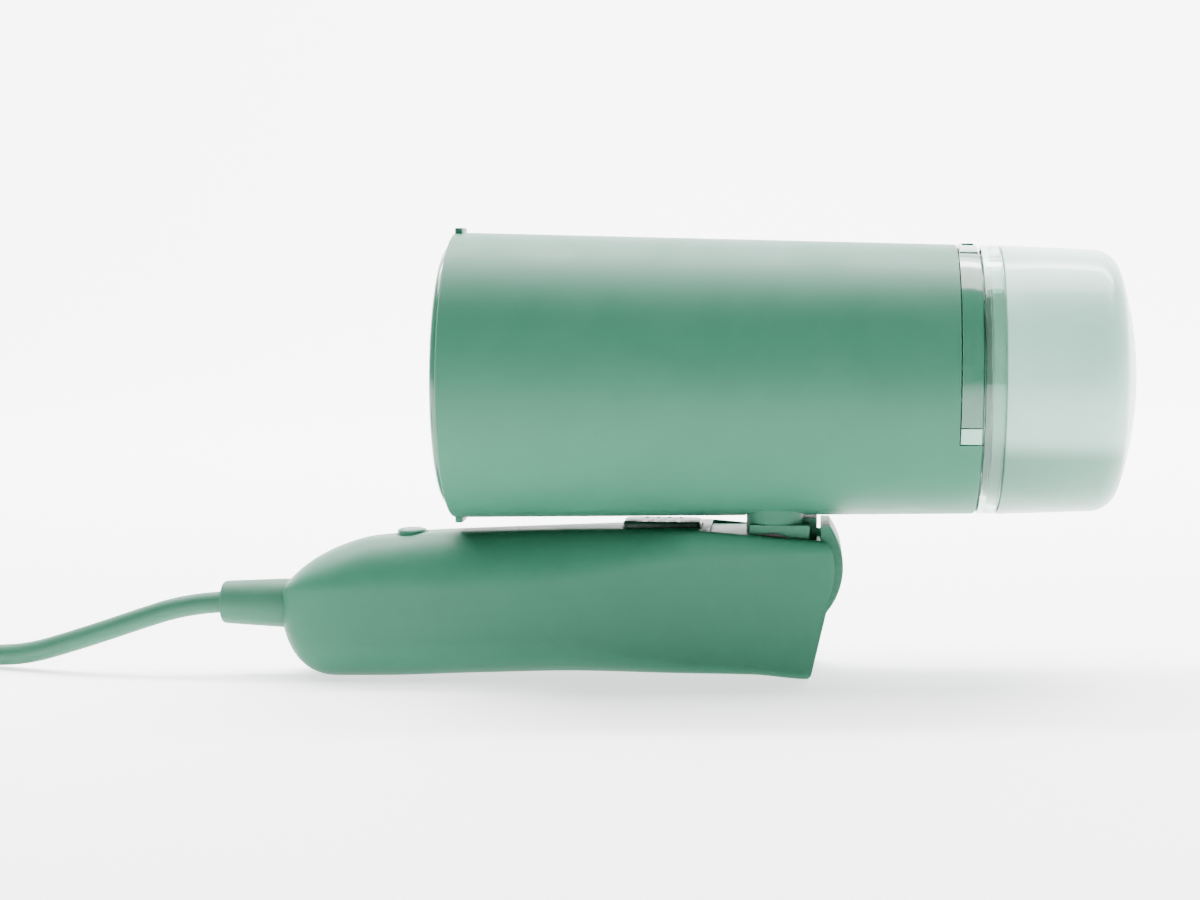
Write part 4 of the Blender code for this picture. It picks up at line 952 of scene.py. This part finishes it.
def makeDrum(plan):
    reach = plan["radius"] + 1 * mm
    piece = rough("hingeDrum", rod(-plan["half"], plan["half"], plan["radius"], plan["sides"], "Y"))
    soften(piece, plan["bevel"], 3, 50)
    carve(piece, block((-reach, -reach, plan["flatLeft"]), (neck["left"] + 1 * mm, reach, reach)))
    carve(piece, block((-reach, -reach, plan["flatRight"]), (reach, reach, reach)))
    behind = (plan["ribRight"] - 2 * mm, -reach, plan["flatLeft"] - 3 * mm)
    carve(piece, block(behind, (plan["ribRight"] + 1 * mm, reach, reach)))
    flange = barrel["axis"] - barrelRadius(0) + barrel["wall"] + plan["flange"]
    carve(piece, upright(neckOutline(0), plan["neckLow"], flange), "UNION")
    under = barrel["axis"] - barrelRadius(0) - gap
    rib = block((0, -plan["ribHalf"], plan["ribLow"]), (plan["ribRight"], plan["ribHalf"], under))
    carve(piece, rib, "UNION")
    carve(piece, rod(-reach, reach, plan["pin"] + gap, 48, "Y"))
    carve(piece, upright(roundOutline(*plan["slot"], 5), plan["slotLow"], reach + plan["slotTop"]))
    settle(piece, "barrel", "satin_green", "hinge_drum")


makeDrum(drum)
print("hinge made")


# Handle

handle = dict(
    tail=-132.3 * mm, tailHeight=-11.5 * mm, topStart=-104 * mm, footLeft=-117 * mm, footHeight=-31.85 * mm,
    halfWidth=17 * mm, tailHalfWidth=15.5 * mm, wall=2.4 * mm, cavityStart=-126 * mm, cavityEnd=-14 * mm,
    end=22 * mm, sideGap=1.1 * mm, clear=0.4 * mm, noseSteps=18, steps=56, sweepSides=128, sweepSteps=52,
    past=20 * mm,
)
# Each row is a station along the handle and a measure there, in mm, but upperCorner's is a share.
topRows = ((-104, 5.5), (-93, 6.7), (-81, 7.4), (-40, 9.0), (-19, 9.4), (-8, 8.7), (12, 7.4), (30, 7.2))
archRows = ((-117, 0), (-104, 0), (-81, 0.6), (-47, 1.3), (-18, 1.45), (-5, 1.25), (10.3, 0), (30, 0))
widthRows = ((-112, 15.5), (-60, 16.2), (-20, 17.0), (30, 17.0))
creaseRows = ((-133, -8.6), (-72, -6.4), (-17, 2.0), (30, 5.0))
upperCorner = ((-133, 1.0), (-104, 0.86), (-60, 0.72), (-30, 0.45), (-17, 0.13), (30, 0.13))
lowerCorner = ((-133, 10.0), (-60, 10.0), (-15, 3.0), (30, 1.5))
floorSlope = -along.z / along.x


def readRows(rows, station):
    return smoothBetween(rows, station / mm) * mm


def superellipse(share, power):
    return max(0.0, 1 - abs(share) ** power) ** (1 / power)


def handleTop(u):
    if u < handle["topStart"]:
        share = (handle["topStart"] - u) / (handle["topStart"] - handle["tail"])
        start = readRows(topRows, handle["topStart"])
        return handle["tailHeight"] + (start - handle["tailHeight"]) * superellipse(share, 1.6)
    return readRows(topRows, u)


def handleBottom(u):
    left = handle["footLeft"]
    if u < left:
        share = (left - u) / (left - handle["tail"])
        return handle["tailHeight"] + (handle["footHeight"] - handle["tailHeight"]) * superellipse(share, 2.2)
    return handle["footHeight"] + (u - left) * floorSlope + readRows(archRows, u)


def handleSide(u):
    start = widthRows[0][0] * mm
    if u < start:
        return handle["tailHalfWidth"] * superellipse((start - u) / (start - handle["tail"]), 2.2)
    return readRows(widthRows, u)


def handleRing(u, inset=0.0, steps=14):
    high, low = handleTop(u) - inset, handleBottom(u) + inset
    half = handleSide(u) - inset
    crease = min(max(readRows(creaseRows, u), low + (high - low) * 0.35), high - 1.5 * mm)
    run = smoothBetween(upperCorner, u / mm) * half
    flat = max(half - readRows(lowerCorner, u), half * 0.3)
    drop = min(half - flat, (crease - low) * 0.62)
    side = []
    for step in range(steps + 1):
        angle = math.pi / 2 * step / steps
        side.append((flat + (half - flat) * math.sin(angle), low + drop * (1 - math.cos(angle))))
    for step in range(steps + 1):
        angle = math.pi / 2 * step / steps
        side.append((half - run * (1 - math.cos(angle)), crease + (high - crease) * math.sin(angle)))
    return [(u, y, w) for y, w in side] + [(u, -y, w) for y, w in reversed(side)]


def handleStations(start, end):
    tail, left = handle["tail"], handle["footLeft"]
    count, more = handle["noseSteps"], handle["steps"]
    nose = [tail + (left - tail) * (1 - math.cos(math.pi / 2 * s / count)) for s in range(1, count + 1)]
    rest = [left + (handle["end"] - left) * s / more for s in range(1, more + 1)]
    inside = [u for u in nose + rest if start < u < end]
    return [start] + inside + [end]


def barrelSweep():
    clear, sides, past = handle["clear"], handle["sweepSides"], handle["past"]
    turn = math.radians(joints["barrel_fold"]["range_deg"][1])
    cone = [
        (barrel["front"] - past, 0),
        (barrel["back"] + 1.5 * past, 0),
        (barrel["back"] + 1.5 * past, barrel["backRadius"] + clear),
        (barrel["back"], barrel["backRadius"] + clear),
        (barrel["front"], barrel["frontRadius"] + clear),
        (barrel["front"] - past, barrel["frontRadius"] + clear),
    ]
    unfolded = turned(cone, sides, at=axisAt)
    unfolded.transform(Matrix.Rotation(turn, 4, "Y"))
    form = bmesh.new()
    radius = barrelRadius(0) + clear
    circle = bmesh.ops.create_circle(form, cap_ends=False, radius=radius, segments=sides)["verts"]
    bmesh.ops.rotate(form, verts=circle, cent=(0, 0, 0), matrix=Matrix.Rotation(math.pi / 2, 3, "Y"))
    bmesh.ops.translate(form, verts=circle, vec=axisAt)
    bmesh.ops.spin(
        form, geom=circle + list(form.edges), cent=(0, 0, 0), axis=(0, 1, 0), angle=turn,
        steps=handle["sweepSteps"],
    )
    bmesh.ops.holes_fill(form, edges=[edge for edge in form.edges if edge.is_boundary], sides=0)
    return form, unfolded


# The handle is cut for the next four pieces, so their sizes come before it.
trigger = dict(
    left=-39.7 * mm, right=-18.9 * mm, half=7 * mm, top=10.8 * mm, corner=3 * mm, lip=1.3 * mm,
    lipThick=1.4 * mm, under=0.2 * mm, edge=0.9 * mm, grooves=(-4.5, -1.5, 1.5, 4.5), groove=0.7 * mm,
    grooveHalf=6 * mm, grooveLift=0.42 * mm, stem=2 * mm, stemLong=4 * mm, stemShift=4 * mm,
)
# Each crown row is a share of the button's outline and how far under its top, in mm.
powerButton = dict(
    middle=-96.8 * mm, along=4 * mm, across=5 * mm, top=7.5 * mm, lip=1.3 * mm, lipThick=1 * mm,
    under=0.2 * mm, stem=1.8 * mm, stemLong=4.5 * mm,
    crown=((1, 0.9), (0.97, 0.5), (0.9, 0.2), (0.75, 0.05), (0.45, 0)),
)
screwPlan = dict(
    places=((-106, -20), (-64, -18), (-4, -23.4)), head=2.6 * mm, shank=1.3 * mm, headDepth=6.5 * mm,
    reach=6 * mm, boss=4.2 * mm, bossIn=0.8 * mm, headTall=1.8 * mm, well=40 * mm, bevel=0.25 * mm,
    cross=((2.4, 0.6), (0.6, 2.4)), crossLow=0.7 * mm, crossTop=3 * mm,
)
relief = dict(
    inner=-124 * mm, tip=-148.8 * mm, height=-13.4 * mm, root=6.6 * mm, tipRadius=5.75 * mm,
    flange=8.6 * mm, flangeThick=3 * mm, nose=1.1 * mm,
)


def ovalOutline(more, steps=48):
    return [
        (
            powerButton["middle"] + (powerButton["along"] + more) * math.cos(math.tau * s / steps),
            (powerButton["across"] + more) * math.sin(math.tau * s / steps),
        )
        for s in range(steps)
    ]


def screwProfile(more, headLength):
    head = handle["halfWidth"] - screwPlan["headDepth"] - more
    end = -screwPlan["reach"] - more
    return [
        (end, 0),
        (head + headLength, 0),
        (head + headLength, screwPlan["head"] + more),
        (head, screwPlan["head"] + more),
        (head, screwPlan["shank"] + more),
        (end, screwPlan["shank"] + more),
    ]


def makeHandle():
    side = drum["half"] + handle["sideGap"]
    skin = [handleRing(u) for u in handleStations(handle["tail"] + gap / 2, handle["end"])]
    hollow = handleStations(handle["cavityStart"], handle["cavityEnd"])
    opening = (trigger["left"] - gap, trigger["right"] + gap, -trigger["half"] - gap, trigger["half"] + gap)
    for name, node, hand in (("handleNear", "handle_shell_left", -1), ("handleFar", "handle_shell_right", 1)):
        shell = rough(name, lofted(skin))
        carve(shell, lofted([handleRing(u, handle["wall"], 8) for u in hollow]))
        for u, w in screwPlan["places"]:
            if u * mm < handle["cavityEnd"]:
                reach = handleSide(u * mm) - handle["wall"] + screwPlan["bossIn"]
                boss = rod(-reach, reach, screwPlan["boss"], 32, "Y", (u * mm, 0, w * mm))
                carve(shell, boss, "UNION")
        low, high = sorted((hand * gap / 2, -hand * 40 * mm))
        carve(shell, block((-160 * mm, low, -60 * mm), (60 * mm, high, 60 * mm)))
        turning, unfolded = barrelSweep()
        socket = rod(
            handle["tail"] - 10 * mm, relief["inner"], relief["root"] + gap, 64, at=(0, 0, relief["height"])
        )
        cutters = [
            rod(-side, side, drum["radius"] + gap, drum["sides"], "Y"),
            rod(-side - 2 * mm, side + 2 * mm, drum["pin"] + gap, 40, "Y"),
            turning,
            unfolded,
            upright(roundOutline(*opening, trigger["corner"]), 0, 20 * mm),
            upright(ovalOutline(gap), 0, 20 * mm),
            socket,
        ]
        for u, w in screwPlan["places"]:
            cutters.append(turned(screwProfile(gap, screwPlan["well"]), 32, "Y", (u * mm, 0, w * mm)))
        for cutter in cutters:
            carve(shell, cutter)
        settle(shell, "handle", "satin_green", node, sharp=38)


makeHandle()
print("handle made")


def makeTrigger(plan):
    left, right, half, lip = plan["left"], plan["right"], plan["half"], plan["lip"]
    lipTop = handleTop(left) - handle["wall"] - gap - plan["under"]
    lipLow = lipTop - plan["lipThick"]
    outline = roundOutline(left, right, -half, half, plan["corner"], 10)
    pad = rough("steamTrigger", upright(outline, lipLow, plan["top"]))
    soften(pad, plan["edge"], 5, 60)
    level = plan["top"] + plan["grooveLift"]
    for offset in plan["grooves"]:  # shallow grip grooves across the pad
        at = ((left + right) / 2 + offset * mm, 0, level)
        carve(pad, rod(-plan["grooveHalf"], plan["grooveHalf"], plan["groove"], 24, "Y", at))
    outline = roundOutline(left - lip, right, -half - lip, half + lip, plan["corner"], 6)
    carve(pad, upright(outline, lipLow, lipTop), "UNION")
    middle = (left + right) / 2 + plan["stemShift"]
    stem = rod(lipLow - plan["stemLong"], lipLow + 0.5 * mm, plan["stem"], 24, "W", (middle, 0, 0))
    carve(pad, stem, "UNION")
    settle(pad, "trigger", "dark_green", "trigger")


makeTrigger(trigger)


def makePowerButton(plan):
    middle, top = plan["middle"], plan["top"]
    lipTop = handleTop(middle - plan["along"] - plan["lip"]) - handle["wall"] - gap - plan["under"]
    lipLow = lipTop - plan["lipThick"]
    rings = [[(u, y, lipLow) for u, y in ovalOutline(0)]]
    for share, under in plan["crown"]:
        rise = top - under * mm
        rings.append([(middle + (u - middle) * share, y * share, rise) for u, y in ovalOutline(0)])
    button = rough("powerButton", lofted(rings))
    carve(button, upright(ovalOutline(plan["lip"]), lipLow, lipTop), "UNION")
    stemEnd = handleTop(middle - plan["along"]) - handle["wall"] - plan["stemLong"]
    carve(button, rod(stemEnd, lipTop, plan["stem"], 24, "W", (middle, 0, 0)), "UNION")
    settle(button, "power_button", "satin_green", "power_button", sharp=45)


makePowerButton(powerButton)


def makeScrews(plan):
    head = handle["halfWidth"] - plan["headDepth"]
    one = rough("oneScrew", turned(screwProfile(0, plan["headTall"]), 32, "Y"))
    soften(one, plan["bevel"], 2, 50)
    low, high = head + plan["crossLow"], head + plan["crossTop"]
    for wide, tall in plan["cross"]:  # a cross recess
        wide, tall = wide / 2 * mm, tall / 2 * mm
        carve(one, block((-wide, low, -tall), (wide, high, tall)))
    places = [(u * mm, 0.0, w * mm) for u, w in plan["places"]]
    screws = grow("handleScrews", scatterTree(), {"Piece": one, "Finish": finishes["steel"]}, places)
    bpy.data.objects.remove(one)
    settle(screws, "handle", "steel", "handle_screw_1", "handle_screw_2", "handle_screw_3")


makeScrews(screwPlan)


def makeRelief(plan):
    profile = [
        (plan["inner"] + plan["flangeThick"], 0),
        (plan["inner"] + plan["flangeThick"], plan["flange"]),
        (plan["inner"] + gap, plan["flange"]),
        (plan["inner"] + gap, plan["root"]),
        (handle["tail"], plan["root"]),
    ]
    start = plan["root"]
    run = handle["tail"] - plan["tip"]
    for step in range(1, 9):
        share = step / 9
        profile.append((handle["tail"] - run * share, start + (plan["tipRadius"] - start) * share))
    for step in range(7):
        angle = math.pi / 2 * step / 6
        past, across = plan["nose"] * (1 - math.sin(angle)), plan["nose"] * (1 - math.cos(angle))
        profile.append((plan["tip"] + past, plan["tipRadius"] - across))
    profile.append((plan["tip"], 0))
    piece = rough("strainRelief", turned(profile, 72, at=(0, 0, plan["height"])))
    settle(piece, "handle", "green_rubber", "strain_relief")


makeRelief(relief)
print("trigger, button, screws and sleeve made")


# Studio

studio = dict(
    floorTone=(0.93, 0.935, 0.93), floorGlow=1.5, floorReach=9, wallAt=1.6, wallHeight=2.4, sweep=0.7,
    under=0.2 * mm, airTone=(0.95, 1.0, 0.98, 1), airStrength=0.06,
    lights=(
        ("overheadBox", (0.0, 0.26, 0.9), (0.0, 0.12, 0.0), (1.5, 0.7), 38),
        ("frontLowFill", (0.1, -1.1, 0.55), (0, 0, 0.03), (1.4, 0.5), 0.4),
        ("wallWash", (0.0, 0.75, 1.5), (0.0, 1.6, 0.35), (2.6, 0.5), 150),
    ),
)


def makeFloor(plan):
    form = bmesh.new()
    sweep = plan["sweep"]
    start = plan["wallAt"] - sweep
    profile = [(-plan["floorReach"], 0.0), (start, 0.0)]
    for step in range(1, 25):
        angle = math.pi / 2 * step / 24
        profile.append((start + sweep * math.sin(angle), sweep * (1 - math.cos(angle))))
    profile.append((plan["wallAt"], plan["wallHeight"]))
    reach = plan["floorReach"]
    left = [form.verts.new((-reach, y, z)) for y, z in profile]
    right = [form.verts.new((reach, y, z)) for y, z in profile]
    for i in range(len(profile) - 1):
        form.faces.new((left[i], right[i], right[i + 1], left[i + 1]))
    mesh = bpy.data.meshes.new("studioFloor")
    form.to_mesh(mesh)
    form.free()
    for face in mesh.polygons:
        face.use_smooth = True
    mesh.transform(Matrix.Translation((0, 0, cadLow.z - plan["under"])))
    paper = makeFinish(
        "paperSweep", plan["floorTone"], 0.8, tint=0.004, grain=400, grainDepth=0.01, specular=0.2,
        glow=plan["floorGlow"],
    )
    mesh.materials.append(paper)
    floor = bpy.data.objects.new("studioFloor", mesh)
    bpy.context.scene.collection.objects.link(floor)


def makeLight(name, place, target, size, power):
    data = bpy.data.lights.new(name, "AREA")
    data.shape = "RECTANGLE"
    data.size, data.size_y = size
    data.energy = power
    light = bpy.data.objects.new(name, data)
    bpy.context.scene.collection.objects.link(light)
    light.location = place
    light.rotation_mode = "QUATERNION"
    light.rotation_quaternion = (Vector(target) - Vector(place)).to_track_quat("-Z", "Y")


makeFloor(studio)
for light in studio["lights"]:
    makeLight(*light)
world = bpy.data.worlds.new("studioAir")
world.use_nodes = True
air = world.node_tree.nodes["Background"]
air.inputs["Color"].default_value = studio["airTone"]
air.inputs["Strength"].default_value = studio["airStrength"]
bpy.context.scene.world = world
print("studio lit")
